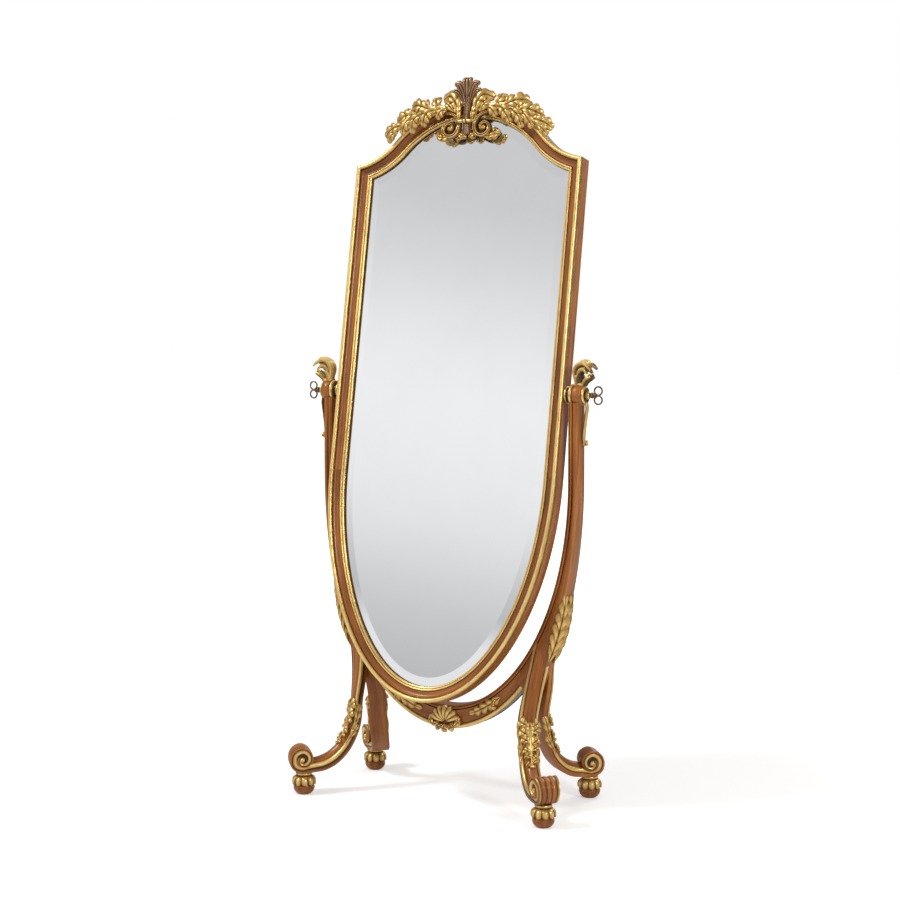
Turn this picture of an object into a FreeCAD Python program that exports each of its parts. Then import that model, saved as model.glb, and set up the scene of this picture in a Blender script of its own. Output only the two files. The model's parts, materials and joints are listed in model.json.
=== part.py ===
"""Cheval floor mirror: a shaped, bevelled mirror in a carved and gilt walnut frame, hung between
two lyre-shaped uprights on four scroll legs, and held at any tilt by two ring-headed clamp keys.

Millimetres, +Z up. The origin is on the floor, midway between the uprights. X runs along the
pivot axis, and -Y is the side that the glass faces. The mirror is drawn in its own plane (X across,
V up from the pivot axis, D behind it) and is placed with the backward lean of its rest position.
"""
import FreeCAD, Part
import math
import os
import Sketcher
from FreeCAD import Placement, Rotation, Vector

DIMENSIONS = {
    # pivot and mirror frame
    "pivot_height": 1072.5, "rest_lean": 10.2, "sight_half": 294, "arch_centre": 477,
    "arch_radius": 256, "arch_turn": 48, "hollow_radius": 242, "bow_centre": -215,
    "bow_depth": 553, "face_width": 42, "slip_width": 12, "bead_width": 11, "front_depth": -27,
    "cove_depth": -17, "slip_depth": -12, "glass_depth": -3, "glass_thick": 6, "back_depth": 25,
    "glass_lap": 8, "board_lap": 20, "board_thick": 6, "lap_play": 0.5,
    # stand
    "lyre_centre": 850, "lyre_inner_half": 352, "lyre_inner_drop": 602, "lyre_outer_half": 379,
    "lyre_outer_drop": 764, "rail_outer_half": 385, "rail_outer_drop": 664, "lyre_half_depth": 25,
    "rail_joint_turn": 57, "upright_foot": 296, "upright_top": 1054,
    "front_foot_x": 355, "rear_foot_x": 331, "foot_y": 165, "leg_width": 50,
    "scroll_radius": 32, "scroll_height": 92, "scroll_length": 60,
    # turned feet
    "bun_radius": 28.5, "bun_rest_radius": 16, "bun_height": 29, "collar_radius": 33,
    "collar_height": 28, "foot_dowel_radius": 6, "foot_dowel_length": 60,
    # hub, boss, bush and key
    "hub_start": 345, "hub_length": 48, "hub_radius": 30.5, "hub_end_radius": 22,
    "boss_radius": 27.5, "boss_thick": 8.6, "screw_radius": 5, "bush_radius": 7.5,
    "running_play": 0.08, "screw_start": 322, "collar_start": 393.4, "key_collar_radius": 11,
    "key_collar_length": 8.6, "ring_centre": 424.5, "ring_radius": 10.6, "ring_wire": 1.5,
    "ring_rise": 11.6, "stem_radius": 3.2,
    # carved work
    "crest_front": -46, "plume_top": 832, "plume_half": 68, "eye_x": 51, "eye_height": 700,
    "eye_radius": 25, "carving_thick": 9,
}

doc = FreeCAD.newDocument("cheval_mirror")
sheet = doc.addObject("Spreadsheet::Sheet", "Dims")
for row, (alias, value) in enumerate(DIMENSIONS.items(), start=1):
    sheet.set(f"A{row}", alias)
    sheet.set(f"B{row}", str(value))
    sheet.setAlias(f"B{row}", alias)
doc.recompute()

PARTS = []                      # every finished sub-part, in the order it is made
SIDES = (("left", -1), ("right", 1))
LEG_ENDS = (("front", -1), ("rear", 1))


def dim(alias):
    """The value of one dimension, read from the sheet."""
    return float(sheet.get(alias))


# the mirror's own plane in the stand's frame: local X, Y, Z are across, behind and up
MIRROR_PLACE = Placement(Vector(0, 0, dim("pivot_height")), Rotation(Vector(1, 0, 0), -dim("rest_lean")))


def keep(obj, label, place=None):
    """Give a finished sub-part its label and place."""
    obj.Label = label
    if place is not None:
        obj.Placement = place
    PARTS.append(obj)
    return obj


def shape_part(label, shape, place=None):
    """A sub-part whose outline no primitive or sketch feature fits."""
    obj = doc.addObject("Part::Feature", label)
    obj.Shape = shape.removeSplitter() if len(shape.Solids) == 1 else shape
    return keep(obj, label, place)


def turned_part(label, points, place):
    """A lathe-turned sub-part: a sketched half profile, revolved about the sketch's upright axis.

    Each point is a (radius, height) pair of expressions on the sheet.
    """
    body = doc.addObject("PartDesign::Body", label + "_body")
    sketch = body.newObject("Sketcher::SketchObject", label + "_profile")
    plane = next(o for o in body.Origin.OriginFeatures if o.Role == "XZ_Plane")
    sketch.AttachmentSupport = [(plane, "")]
    sketch.MapMode = "FlatFace"
    values = [tuple(evaluate(e) for e in pair) for pair in points]
    count = len(points)
    for i, (a, b) in enumerate(zip(values, values[1:] + values[:1])):
        sketch.addGeometry(Part.LineSegment(Vector(*a, 0), Vector(*b, 0)), False)
    for i in range(count):
        sketch.addConstraint(Sketcher.Constraint("Coincident", i, 2, (i + 1) % count, 1))
    for i, pair in enumerate(points):
        for kind, value, expression in zip(("DistanceX", "DistanceY"), values[i], pair):
            index = sketch.addConstraint(Sketcher.Constraint(kind, -1, 1, i, 1, value))
            sketch.setExpression(f"Constraints[{index}]", expression)
    turning = body.newObject("PartDesign::Revolution", label + "_turning")
    turning.Profile = sketch
    turning.ReferenceAxis = (sketch, ["V_Axis"])
    turning.Angle = 360
    doc.recompute()
    return keep(body, label, place)


def evaluate(expression):
    """The value of an expression on the sheet."""
    return float(sheet.evalExpression(expression.replace("Dims.", "")))


def cylinder(label, radius, height, place):
    """A plain round piece whose radius and length are expressions on the sheet."""
    obj = doc.addObject("Part::Cylinder", label)
    obj.setExpression("Radius", radius)
    obj.setExpression("Height", height)
    obj.Placement = place
    doc.recompute()
    return obj


def along_x(x, side, height=None, y=0):
    """Place a piece drawn along +Z so that it lies along the pivot axis, outward from x."""
    z = dim("pivot_height") if height is None else height
    return Placement(Vector(side * x, y, z), Rotation(Vector(0, 1, 0), 90 * side))


def group_part(label, shapes, place=None):
    """Identical pieces in one node, as separate solids."""
    return shape_part(label, Part.makeCompound(shapes), place)


# ---------------------------------------------------------------- mirror outline

def hollow_centre():
    """Centre of the hollow curve on the right of the arch."""
    reach = dim("arch_radius") + dim("hollow_radius")
    turn = math.radians(dim("arch_turn"))
    return reach * math.sin(turn), dim("arch_centre") + reach * math.cos(turn)


def corner_point(grow):
    """Right-hand corner of the outline, for an outline grown outward by this much."""
    cx, cv = hollow_centre()
    radius = dim("hollow_radius") - grow
    x = dim("sight_half") + grow
    return Vector(x, 0, cv - math.sqrt(radius ** 2 - (cx - x) ** 2))


def flipped(point):
    """The same point on the left-hand side."""
    return Vector(-point.x, point.y, point.z)


def top_edges(grow):
    """Arch with a hollow at each end, from the left corner to the right one."""
    turn = math.radians(dim("arch_turn"))
    cx, cv = hollow_centre()
    hollow, arch = dim("hollow_radius") - grow, dim("arch_radius") + grow
    meet = Vector(arch * math.sin(turn), 0, dim("arch_centre") + arch * math.cos(turn))
    corner = corner_point(grow)
    first = math.atan2(meet.z - cv, meet.x - cx)
    last = math.atan2(corner.z - cv, corner.x - cx)
    middle = Vector(cx + hollow * math.cos((first + last) / 2), 0,
                    cv + hollow * math.sin((first + last) / 2))
    crown = Vector(0, 0, dim("arch_centre") + arch)
    return [Part.Arc(flipped(corner), flipped(middle), flipped(meet)).toShape(),
            Part.Arc(flipped(meet), crown, meet).toShape(),
            Part.Arc(meet, middle, corner).toShape()]


def ellipse_arc(centre_z, half, drop, start, end):
    """Arc of an ellipse in the XZ plane; angles in degrees, measured down from the +X side."""
    centre = Vector(0, 0, centre_z)
    ellipse = Part.Ellipse(centre - Vector(0, 0, drop), centre + Vector(half, 0, 0), centre)
    first, last = sorted(math.radians(90 - angle) for angle in (start, end))
    return Part.ArcOfEllipse(ellipse, first, last).toShape()


def on_ellipse(centre_z, half, drop, angle):
    """Point of an ellipse at an angle in degrees, measured down from the +X side."""
    turn = math.radians(angle)
    return Vector(half * math.cos(turn), 0, centre_z - drop * math.sin(turn))


def bow_edge(grow):
    """Half-ellipse along the foot of the mirror."""
    return ellipse_arc(dim("bow_centre"), dim("sight_half") + grow, dim("bow_depth") + grow, 0, 180)


def side_points(grow):
    """Top and bottom of the straight right-hand side."""
    return corner_point(grow), Vector(dim("sight_half") + grow, 0, dim("bow_centre"))


def filled(edges, near, far):
    """Solid between two depths whose outline is this closed chain of edges."""
    face = Part.Face(Part.Wire(Part.__sortEdges__(edges)))
    face.translate(Vector(0, near, 0))
    return face.extrude(Vector(0, far - near, 0))


def line(a, b):
    """Straight edge between two points."""
    return Part.LineSegment(a, b).toShape()


def full_outline(grow):
    """Closed outline of the whole mirror, grown outward by this much."""
    top, foot = side_points(grow)
    return top_edges(grow) + [line(top, foot), bow_edge(grow), line(flipped(foot), flipped(top))]


def band(kind, inner, outer, near, far):
    """Part of the frame between two outlines: the arched top, a side or the bow at the foot."""
    (top_a, foot_a), (top_b, foot_b) = side_points(inner), side_points(outer)
    if kind == "top":
        edges = top_edges(inner) + top_edges(outer) + [line(top_a, top_b),
                                                       line(flipped(top_a), flipped(top_b))]
    elif kind == "bow":
        edges = [bow_edge(inner), bow_edge(outer), line(foot_a, foot_b),
                 line(flipped(foot_a), flipped(foot_b))]
    else:
        edges = [line(top_a, top_b), line(top_b, foot_b), line(foot_b, foot_a), line(foot_a, top_a)]
    solid = filled(edges, near, far)
    return solid.mirror(Vector(0, 0, 0), Vector(1, 0, 0)) if kind == "left" else solid


def frame_member(kind):
    """One member of the frame: raised outer edge, lower cove, and laps for the glass and board."""
    face, bead = dim("face_width"), dim("bead_width")
    back, glass_back = dim("back_depth"), dim("glass_depth") + dim("glass_thick")
    cove = face - bead
    steps = [(cove, face, dim("front_depth"), back), (dim("slip_width"), cove, dim("cove_depth"), back),
             (dim("glass_lap"), dim("slip_width"), dim("glass_depth"), glass_back)]
    solid = band(kind, *steps[0])
    for step in steps[1:]:
        solid = solid.fuse(band(kind, *step))
    hollow = band(kind, 0, dim("board_lap"), glass_back, back + 1)
    return solid.cut(hollow).removeSplitter()


# ---------------------------------------------------------------- mirror and its frame

def backing_screw(x, v):
    """Countersunk wood screw that holds the backing board to the frame."""
    deep = dim("glass_depth") + dim("glass_thick") + dim("board_thick")
    shank = Part.makeCylinder(1.75, 18, Vector(x, deep, v), Vector(0, -1, 0))
    head = Part.makeCone(3.5, 1.75, 2.5, Vector(x, deep, v), Vector(0, -1, 0))
    return shank.fuse(head).removeSplitter()


def screw_places():
    """Where the backing board is screwed: along the arch, down both sides and round the bow."""
    inset = (dim("glass_lap") + dim("board_lap")) / 2
    arch, side = dim("arch_radius") + inset, dim("sight_half") + inset
    places = [(arch * math.sin(a), dim("arch_centre") + arch * math.cos(a)) for a in (-0.6, 0, 0.6)]
    places += [(s * side, v) for s in (-1, 1) for v in (480, 200, -80)]
    for angle in (20, 52, 90, 128, 160):
        turn = math.radians(angle)
        places.append((side * math.cos(turn),
                       dim("bow_centre") - (dim("bow_depth") + inset) * math.sin(turn)))
    return places


def build_mirror():
    """Glass, backing board, four frame members, gilt slips and what joins them."""
    glass_back = dim("glass_depth") + dim("glass_thick")
    board_back = glass_back + dim("board_thick")
    middle = (board_back + dim("back_depth")) / 2
    screws = [backing_screw(x, v) for x, v in screw_places()]
    glass = filled(full_outline(dim("glass_lap") - dim("lap_play")), dim("glass_depth"), glass_back)
    shape_part("mirror_glass", glass, MIRROR_PLACE)
    board = filled(full_outline(dim("board_lap") - dim("lap_play")), glass_back, board_back)
    shape_part("backing_board", board.cut(screws), MIRROR_PLACE)
    group_part("backing_screws", screws, MIRROR_PLACE)

    corner = (corner_point(dim("board_lap")) + corner_point(dim("face_width"))) * 0.5
    biscuits = [Part.makeCylinder(9, 3, Vector(s * corner.x, middle - 1.5, corner.z), Vector(0, 1, 0))
                for _, s in SIDES]
    peg_x = dim("sight_half") + (dim("board_lap") + dim("face_width")) / 2
    pegs = [Part.makeCylinder(4, 50, Vector(s * peg_x, middle, dim("bow_centre") - 25), Vector(0, 0, 1))
            for _, s in SIDES]
    inserts = [Part.makeCylinder(dim("bush_radius"), 16,
                                 Vector(s * (dim("sight_half") + dim("face_width")), 0, 0),
                                 Vector(-s, 0, 0)) for _, s in SIDES]
    cutters = screws + biscuits + pegs + inserts
    names = {"top": "top_rail", "left": "left_stile", "right": "right_stile", "bow": "bottom_bow"}
    slips = {}
    for kind, name in names.items():
        shape_part(name, frame_member(kind).cut(cutters), MIRROR_PLACE)
        slips[kind] = band(kind, 0, dim("slip_width"), dim("slip_depth"), dim("glass_depth"))
    shape_part("top_slip", slips["top"], MIRROR_PLACE)
    shape_part("bottom_slip", slips["bow"], MIRROR_PLACE)
    group_part("side_slips", [slips["left"], slips["right"]], MIRROR_PLACE)
    group_part("mitre_biscuits", biscuits, MIRROR_PLACE)
    group_part("bow_pegs", pegs, MIRROR_PLACE)

    bore = dim("screw_radius") + dim("running_play")
    hole = Part.makeCylinder(bore, 700, Vector(-350, 0, 0), Vector(1, 0, 0))
    group_part("thread_inserts", [insert.cut(hole) for insert in inserts], MIRROR_PLACE)
    for side_name, side in SIDES:
        disc = cylinder(side_name + "_boss_disc", "Dims.boss_radius", "Dims.boss_thick",
                        along_x(dim("sight_half") + dim("face_width"), side))
        drill = cylinder(side_name + "_boss_bore", "Dims.screw_radius + Dims.running_play",
                         "Dims.boss_thick", along_x(dim("sight_half") + dim("face_width"), side))
        boss = doc.addObject("Part::Cut", side_name + "_boss_cut")
        boss.Base, boss.Tool = disc, drill
        keep(boss, side_name + "_pivot_boss")


# ---------------------------------------------------------------- stand

def joint_line():
    """Inner and outer ends of the joint between an upright and the rail, on the right."""
    turn = dim("rail_joint_turn")
    half, drop = dim("lyre_inner_half"), dim("lyre_inner_drop")
    inner = on_ellipse(dim("lyre_centre"), half, drop, turn)
    across = Vector(math.cos(math.radians(turn)) / half, 0, -math.sin(math.radians(turn)) / drop)
    across.normalize()
    low, high = 0, 90
    for _ in range(40):
        reach = (low + high) / 2
        point = inner + across * reach
        span = (point.x / dim("rail_outer_half")) ** 2
        span += ((dim("lyre_centre") - point.z) / dim("rail_outer_drop")) ** 2
        low, high = (reach, high) if span < 1 else (low, reach)
    return inner, inner + across * low


def outer_angle(height, drop):
    """Angle on an outer ellipse, measured down from the side, at which it reaches a height."""
    return math.degrees(math.asin((dim("lyre_centre") - height) / drop))


def upright_solid():
    """Right-hand upright: a board sawn to the lyre curve, its head hollowed for the hub."""
    inner, outer = joint_line()
    centre, depth = dim("lyre_centre"), dim("lyre_half_depth")
    half_in, half_out, top = dim("lyre_inner_half"), dim("lyre_outer_half"), dim("upright_top")
    foot_turn = outer_angle(dim("upright_foot"), dim("lyre_outer_drop"))
    foot = on_ellipse(centre, half_out, dim("lyre_outer_drop"), foot_turn)
    edges = [ellipse_arc(centre, half_in, dim("lyre_inner_drop"), 0, dim("rail_joint_turn")),
             line(inner, outer), line(outer, foot),
             ellipse_arc(centre, half_out, dim("lyre_outer_drop"), 0, foot_turn),
             line(Vector(half_out, 0, centre), Vector(half_out, 0, top)),
             line(Vector(half_out, 0, top), Vector(half_in, 0, top)),
             line(Vector(half_in, 0, top), Vector(half_in, 0, centre))]
    hub = Part.makeCylinder(dim("hub_radius"), 100, Vector(300, 0, dim("pivot_height")),
                            Vector(1, 0, 0))
    return filled(edges, -depth, depth).cut(hub)


def rail_solid():
    """Curved rail that ties the feet of the two uprights together."""
    inner, outer = joint_line()
    centre = dim("lyre_centre")
    turn_in = dim("rail_joint_turn")
    turn_out = outer_angle(outer.z, dim("rail_outer_drop"))
    edges = [ellipse_arc(centre, dim("lyre_inner_half"), dim("lyre_inner_drop"), turn_in,
                         180 - turn_in),
             ellipse_arc(centre, dim("rail_outer_half"), dim("rail_outer_drop"), turn_out,
                         180 - turn_out),
             line(inner, outer), line(flipped(inner), flipped(outer))]
    return filled(edges, -dim("lyre_half_depth"), dim("lyre_half_depth"))


def foot_place(end, side):
    """Centre of a foot on the floor."""
    x = dim("front_foot_x") if end < 0 else dim("rear_foot_x")
    return Vector(side * x, end * dim("foot_y"), 0)


# the leg's centre line: below the neck as reach from the foot centre, height and thickness
LEG_CURVE = ((146, 245, 22), (143, 205, 23), (134, 168, 26), (112, 127, 31), (84, 98, 36),
             (56, 84, 38), (28, 79, 36), (4, 80, 32))
# above the neck it runs into the upright: across, from the stand's mid plane, height, thickness
LEG_HEAD = ((280, 3, 425, 24), (271, 18, 370, 24), (262, 35, 310, 24))


def leg_splay(end):
    """Turn of a leg in plan, from straight ahead towards the side, in degrees."""
    return 41.6 if end < 0 else 32.7


def leg_sections(end, side):
    """Centre, direction across and thickness at each section, from the head to the scroll."""
    splay = math.radians(leg_splay(end))
    outward = Vector(side * math.sin(splay), end * math.cos(splay), 0)
    foot = foot_place(end, side)
    sections = []
    for number, (x, y, z, thick) in enumerate(LEG_HEAD):
        turn = splay * (number + 1) / (len(LEG_HEAD) + 1)
        across = Vector(side * math.cos(turn), -end * math.sin(turn), 0)
        sections.append((Vector(side * x, end * y, z), across, thick))
    across = Vector(side * math.cos(splay), -end * math.sin(splay), 0)
    for reach, z, thick in LEG_CURVE:
        sections.append((foot - outward * reach + Vector(0, 0, z), across, thick))
    return sections


def leg_solid(end, side):
    """Scroll leg: a tapered strap swept from the upright to a roll over the foot."""
    sections = leg_sections(end, side)
    wires = []
    for number, (centre, across, thick) in enumerate(sections):
        before = sections[max(number - 1, 0)][0]
        after = sections[min(number + 1, len(sections) - 1)][0]
        along = (after - before).normalize()
        out = along.cross(across).normalize()
        wide = across * (dim("leg_width") / 2)
        deep = out * (thick / 2)
        corners = [centre + wide + deep, centre - wide + deep, centre - wide - deep,
                   centre + wide - deep]
        wires.append(Part.makePolygon(corners + corners[:1]))
    strap = Part.makeLoft(wires, True, False)
    across = sections[-1][1]
    start = foot_place(end, side) + Vector(0, 0, dim("scroll_height"))
    start = start - across * (dim("scroll_length") / 2)
    roll = Part.makeCylinder(dim("scroll_radius"), dim("scroll_length"), start, across)
    return strap.fuse(roll).removeSplitter()


def largest(shape):
    """The biggest solid of a shape that a cut has left in several."""
    return max(shape.Solids, key=lambda solid: solid.Volume)


def build_feet():
    """Turned bun feet, each with its dowel, and the gilt collars round the dowels."""
    low, high = "Dims.bun_height", "Dims.bun_height + Dims.collar_height"
    bun = [("0", "0"), ("Dims.bun_rest_radius", "0"), ("Dims.bun_radius - 3", "Dims.bun_height * 0.3"),
           ("Dims.bun_radius", "Dims.bun_height * 0.6"), ("Dims.bun_radius - 3", low),
           ("Dims.foot_dowel_radius", low), ("Dims.foot_dowel_radius", low + " + Dims.foot_dowel_length"),
           ("0", low + " + Dims.foot_dowel_length")]
    collar = [("Dims.foot_dowel_radius", low), ("Dims.bun_radius", low),
              ("Dims.collar_radius", low + " + Dims.collar_height * 0.45"),
              ("Dims.bun_radius - 6", "Dims.bun_height + Dims.collar_height * 0.8"),
              ("Dims.bun_radius - 6", high + " + 3"), ("Dims.foot_dowel_radius", high + " + 3")]
    buns, collars = [], []
    for end_name, end in LEG_ENDS:
        for side_name, side in SIDES:
            place = Placement(foot_place(end, side), Rotation())
            buns.append(turned_part(f"{end_name}_{side_name}_bun_foot", bun, place))
            collars.append(turned_part(f"{end_name}_{side_name}_foot_collar", collar, place))
    return [piece.Shape for piece in buns + collars]


def rail_dowels():
    """Two dowels across each joint between the rail and an upright."""
    inner, outer = joint_line()
    across = (outer - inner).normalize()
    along = Vector(across.z, 0, -across.x)
    middle = (inner + outer) * 0.5
    dowels = []
    for side in (-1, 1):
        for shift in (-11, 11):
            centre = middle + Vector(0, shift, 0) - along * 20
            start = Vector(side * centre.x, centre.y, centre.z)
            dowels.append(Part.makeCylinder(5, 40, start, Vector(side * along.x, 0, along.z)))
    return dowels


def build_stand():
    """Uprights, rail, legs, feet and the dowels that hold them together."""
    turned = build_feet()
    dowels = rail_dowels()
    screws = []
    for end in (-1, 1):
        for side in (-1, 1):
            start = Vector(side * 262, end * 6, 335)
            screws.append(Part.makeCylinder(3, 26, start, Vector(0, end, 0)))
    right = upright_solid()
    left = right.mirror(Vector(0, 0, 0), Vector(1, 0, 0))
    uprights = {"left": left, "right": right}
    legs = []
    for end_name, end in LEG_ENDS:
        for side_name, side in SIDES:
            leg = largest(leg_solid(end, side).cut([uprights[side_name]] + screws + turned + legs))
            legs.append(leg)
            shape_part(f"{end_name}_{side_name}_leg", leg)
    for side_name, upright in uprights.items():
        shape_part(side_name + "_upright", upright.cut(dowels + screws))
    shape_part("stretcher_rail", rail_solid().cut(dowels))
    group_part("rail_dowels", dowels)
    group_part("leg_screws", screws)
    return legs


# ---------------------------------------------------------------- hubs and keys

def build_hub(side_name, side):
    """Turned hub on the head of an upright, with its bush and the key that passes through it."""
    bore, length = "Dims.bush_radius", "Dims.hub_length"
    hub = [(bore, "0"), ("Dims.hub_radius - 5", "0"), ("Dims.hub_radius", "7"),
           ("Dims.hub_radius", "Dims.hub_length * 0.62"), ("Dims.hub_end_radius", "Dims.hub_length * 0.82"),
           ("Dims.hub_end_radius", length), (bore, length)]
    place = along_x(dim("hub_start"), side)
    turned_part(side_name + "_hub", hub, place)
    outer = cylinder(side_name + "_bush_tube", "Dims.bush_radius", "Dims.hub_length", place)
    inner = cylinder(side_name + "_bush_bore", "Dims.screw_radius + Dims.running_play",
                     "Dims.hub_length", place)
    bush = doc.addObject("Part::Cut", side_name + "_bush_cut")
    bush.Base, bush.Tool = outer, inner
    keep(bush, side_name + "_hub_bush")

    start = "Dims.collar_start - Dims.screw_start"
    end = start + " + Dims.key_collar_length"
    screw = [("0", "0"), ("Dims.screw_radius - 1", "0"), ("Dims.screw_radius", "1.5"),
             ("Dims.screw_radius", start), ("Dims.key_collar_radius", start),
             ("Dims.key_collar_radius", end + " - 3"), ("Dims.stem_radius + 1.5", end), ("0", end)]
    turned_part(side_name + "_pivot_screw", screw, along_x(dim("screw_start"), side))

    centre = side * dim("ring_centre")
    height = dim("pivot_height")
    base = dim("collar_start") + dim("key_collar_length")
    wire, ring = dim("ring_wire"), dim("ring_radius")
    bow = Part.makeCylinder(dim("stem_radius"), dim("ring_centre") - ring + 4 - base,
                            Vector(side * base, 0, height), Vector(side, 0, 0))
    ball = Part.makeSphere(dim("stem_radius") + 1.5, Vector(side * (dim("ring_centre") - ring + 2), 0, height))
    bow = bow.fuse(ball)
    for rise in (-dim("ring_rise"), dim("ring_rise")):
        bow = bow.fuse(Part.makeTorus(ring, wire, Vector(centre, 0, height + rise), Vector(0, 1, 0)))
    shape_part(side_name + "_key_rings", bow.removeSplitter())


# ---------------------------------------------------------------- carved work

def scalloped(path, lobes, swell):
    """Closed outline round an open path: leafy lobes on both flanks that fade at the tips.

    path gives the centre and the unit direction across at a fraction from 0 to 1.
    """
    count = lobes * 4
    flank = []
    for sign in (1, -1):
        points = []
        for i in range(count + 1):
            along = i / count
            centre, across = path(along)
            lobe = 0.55 + 0.45 * abs(math.sin(math.pi * lobes * along))
            points.append(centre + across * (sign * swell(along) * lobe))
        flank.append(points)
    outline = flank[0] + flank[1][::-1]
    return Part.makePolygon(outline + outline[:1])


def leaf_plate(wire, near, far):
    """Carved plate between two depths in the XZ plane."""
    face = Part.Face(wire)
    face.translate(Vector(0, near, 0))
    return face.extrude(Vector(0, far - near, 0))


def spray_path(side, start, end, radius):
    """Path along the arch of the frame, between two angles from its crown."""
    def path(along):
        turn = math.radians(start + (end - start) * along)
        across = Vector(side * math.sin(turn), 0, math.cos(turn))
        return Vector(0, 0, dim("arch_centre")) + across * radius, across
    return path


def build_crest():
    """Plume, tie bar, scrolls, leaf sprays and under-leaves on the crown of the frame."""
    front, near = dim("crest_front"), dim("front_depth")
    head = dim("plume_top")
    stem = [Vector(-12, 0, 690), Vector(-17, 0, 735), Vector(-28, 0, 775), Vector(-dim("plume_half"), 0, 797),
            Vector(-46, 0, 822), Vector(-22, 0, head), Vector(22, 0, head), Vector(46, 0, 822),
            Vector(dim("plume_half"), 0, 797), Vector(28, 0, 775), Vector(17, 0, 735), Vector(12, 0, 690)]
    plume = leaf_plate(Part.makePolygon(stem + stem[:1]), front - 6, near)
    bar = Part.makeCylinder(5, 56, Vector(-28, near + 5 - 26, 716), Vector(1, 0, 0))
    pieces = {"crest_plume": plume.cut(bar), "crest_tie_bar": bar}
    taken = [plume, bar]
    for side_name, side in SIDES:
        roll = Part.makeCylinder(dim("eye_radius"), near - front, Vector(side * dim("eye_x"), front,
                                                                         dim("eye_height")), Vector(0, 1, 0))
        under = scalloped(lambda a, s=side: (Vector(s * (26 + 60 * a), 0, 672 + 22 * a), Vector(0, 0, 1)),
                          4, lambda a: 6 + 8 * math.sin(math.pi * a))
        under = leaf_plate(under, near - 12, near)
        spray = scalloped(spray_path(side, 14, 66, dim("arch_radius") + 62), 8,
                          lambda a: 13 + 30 * math.sin(math.pi * min(1, 0.14 + 0.86 * a)) ** 0.7)
        scroll = largest(roll.fuse(under).cut(taken))
        pieces[f"crest_{side_name}_scroll"] = scroll
        pieces[f"crest_{side_name}_spray"] = largest(leaf_plate(spray, front + 2, near).cut(scroll).cut(taken))
    for name, shape in pieces.items():
        shape_part(name, shape, MIRROR_PLACE)


def build_finial(side_name, side):
    """Curled leaf on top of a hub, and the tail leaf that hangs outside the upright."""
    hub = Part.makeCylinder(dim("hub_radius"), 200, Vector(side * 300, 0, dim("pivot_height")),
                            Vector(side, 0, 0))
    base = dim("pivot_height")
    outline = [(355, 20), (352, 55), (357, 82), (372, 96), (392, 97), (408, 88), (400, 70),
               (392, 55), (396, 40), (392, 20)]
    points = [Vector(side * x, 0, base + z) for x, z in outline]
    leaf = leaf_plate(Part.makePolygon(points + points[:1]), -24, 24)
    shape_part(side_name + "_finial", largest(leaf.cut(hub)))
    flank = dim("lyre_outer_half")
    tail = [(flank, base - 32), (flank + 8, base - 32), (flank + 9, base - 90), (flank + 18, base - 112),
            (flank + 16, base - 128), (flank + 4, base - 130), (flank, base - 118)]
    points = [Vector(side * x, 0, z) for x, z in tail]
    shape_part(side_name + "_tail_leaf", leaf_plate(Part.makePolygon(points + points[:1]), -12, 12))


def build_side_carving(side_name, side):
    """Leaf carving on the outer face of an upright, just above the legs."""
    centre, half, drop = dim("lyre_centre"), dim("lyre_outer_half"), dim("lyre_outer_drop")
    start, end = (outer_angle(z, drop) for z in (560, 395))
    grown = dim("carving_thick")
    inner_a, inner_b = (on_ellipse(centre, half, drop, a) for a in (start, end))
    outer_a, outer_b = (on_ellipse(centre, half + grown, drop + grown, a) for a in (start, end))
    edges = [ellipse_arc(centre, half, drop, start, end), line(inner_b, outer_b),
             ellipse_arc(centre, half + grown, drop + grown, start, end), line(outer_a, inner_a)]
    solid = filled(edges, -18, 18)
    if side < 0:
        solid = solid.mirror(Vector(0, 0, 0), Vector(1, 0, 0))
    return shape_part(side_name + "_upright_carving", solid)


def build_leg_carving(name, end, side, legs):
    """Leaf carving on the front of a leg, from the neck to the start of the scroll."""
    sections = leg_sections(end, side)[3:7]
    wires = []
    for number, (centre, across, thick) in enumerate(sections):
        before = sections[max(number - 1, 0)][0]
        after = sections[min(number + 1, len(sections) - 1)][0]
        out = across.cross((after - before).normalize()).normalize()
        if out.dot(centre - Vector(0, 0, centre.z)) < 0:
            out = out * -1
        wide = across * (17 if number in (0, len(sections) - 1) else 22)
        base, face = centre + out * (thick / 2 - 3), centre + out * (thick / 2 + dim("carving_thick"))
        corners = [base + wide, base - wide, face - wide, face + wide]
        wires.append(Part.makePolygon(corners + corners[:1]))
    solid = Part.makeLoft(wires, True, False).cut(legs)
    shape_part(name + "_leg_carving", largest(solid))


def build_rail_carvings():
    """Shell in the middle of the rail and a leaf spray on each side of it."""
    near = -dim("lyre_half_depth")
    shell = scalloped(lambda a: (Vector(0, 0, 178 + 76 * a), Vector(1, 0, 0)), 4,
                      lambda a: 20 + 24 * math.sin(math.pi * min(1, 0.1 + 0.8 * a)))
    shape_part("stretcher_shell", leaf_plate(shell, near - 14, near))
    half, drop = dim("lyre_inner_half") + 16, dim("lyre_inner_drop") + 30
    sprays = []
    for _, side in SIDES:
        def path(along, side=side):
            turn = 79 - 17 * along
            point = on_ellipse(dim("lyre_centre"), half, drop, turn)
            across = Vector(side * math.cos(math.radians(turn)) / half, 0,
                            -math.sin(math.radians(turn)) / drop).normalize()
            return Vector(side * point.x, 0, point.z), across
        outline = scalloped(path, 4, lambda a: 8 + 9 * math.sin(math.pi * a))
        sprays.append(leaf_plate(outline, near - 8, near))
    group_part("stretcher_sprays", sprays)


# ---------------------------------------------------------------- whole object

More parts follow.
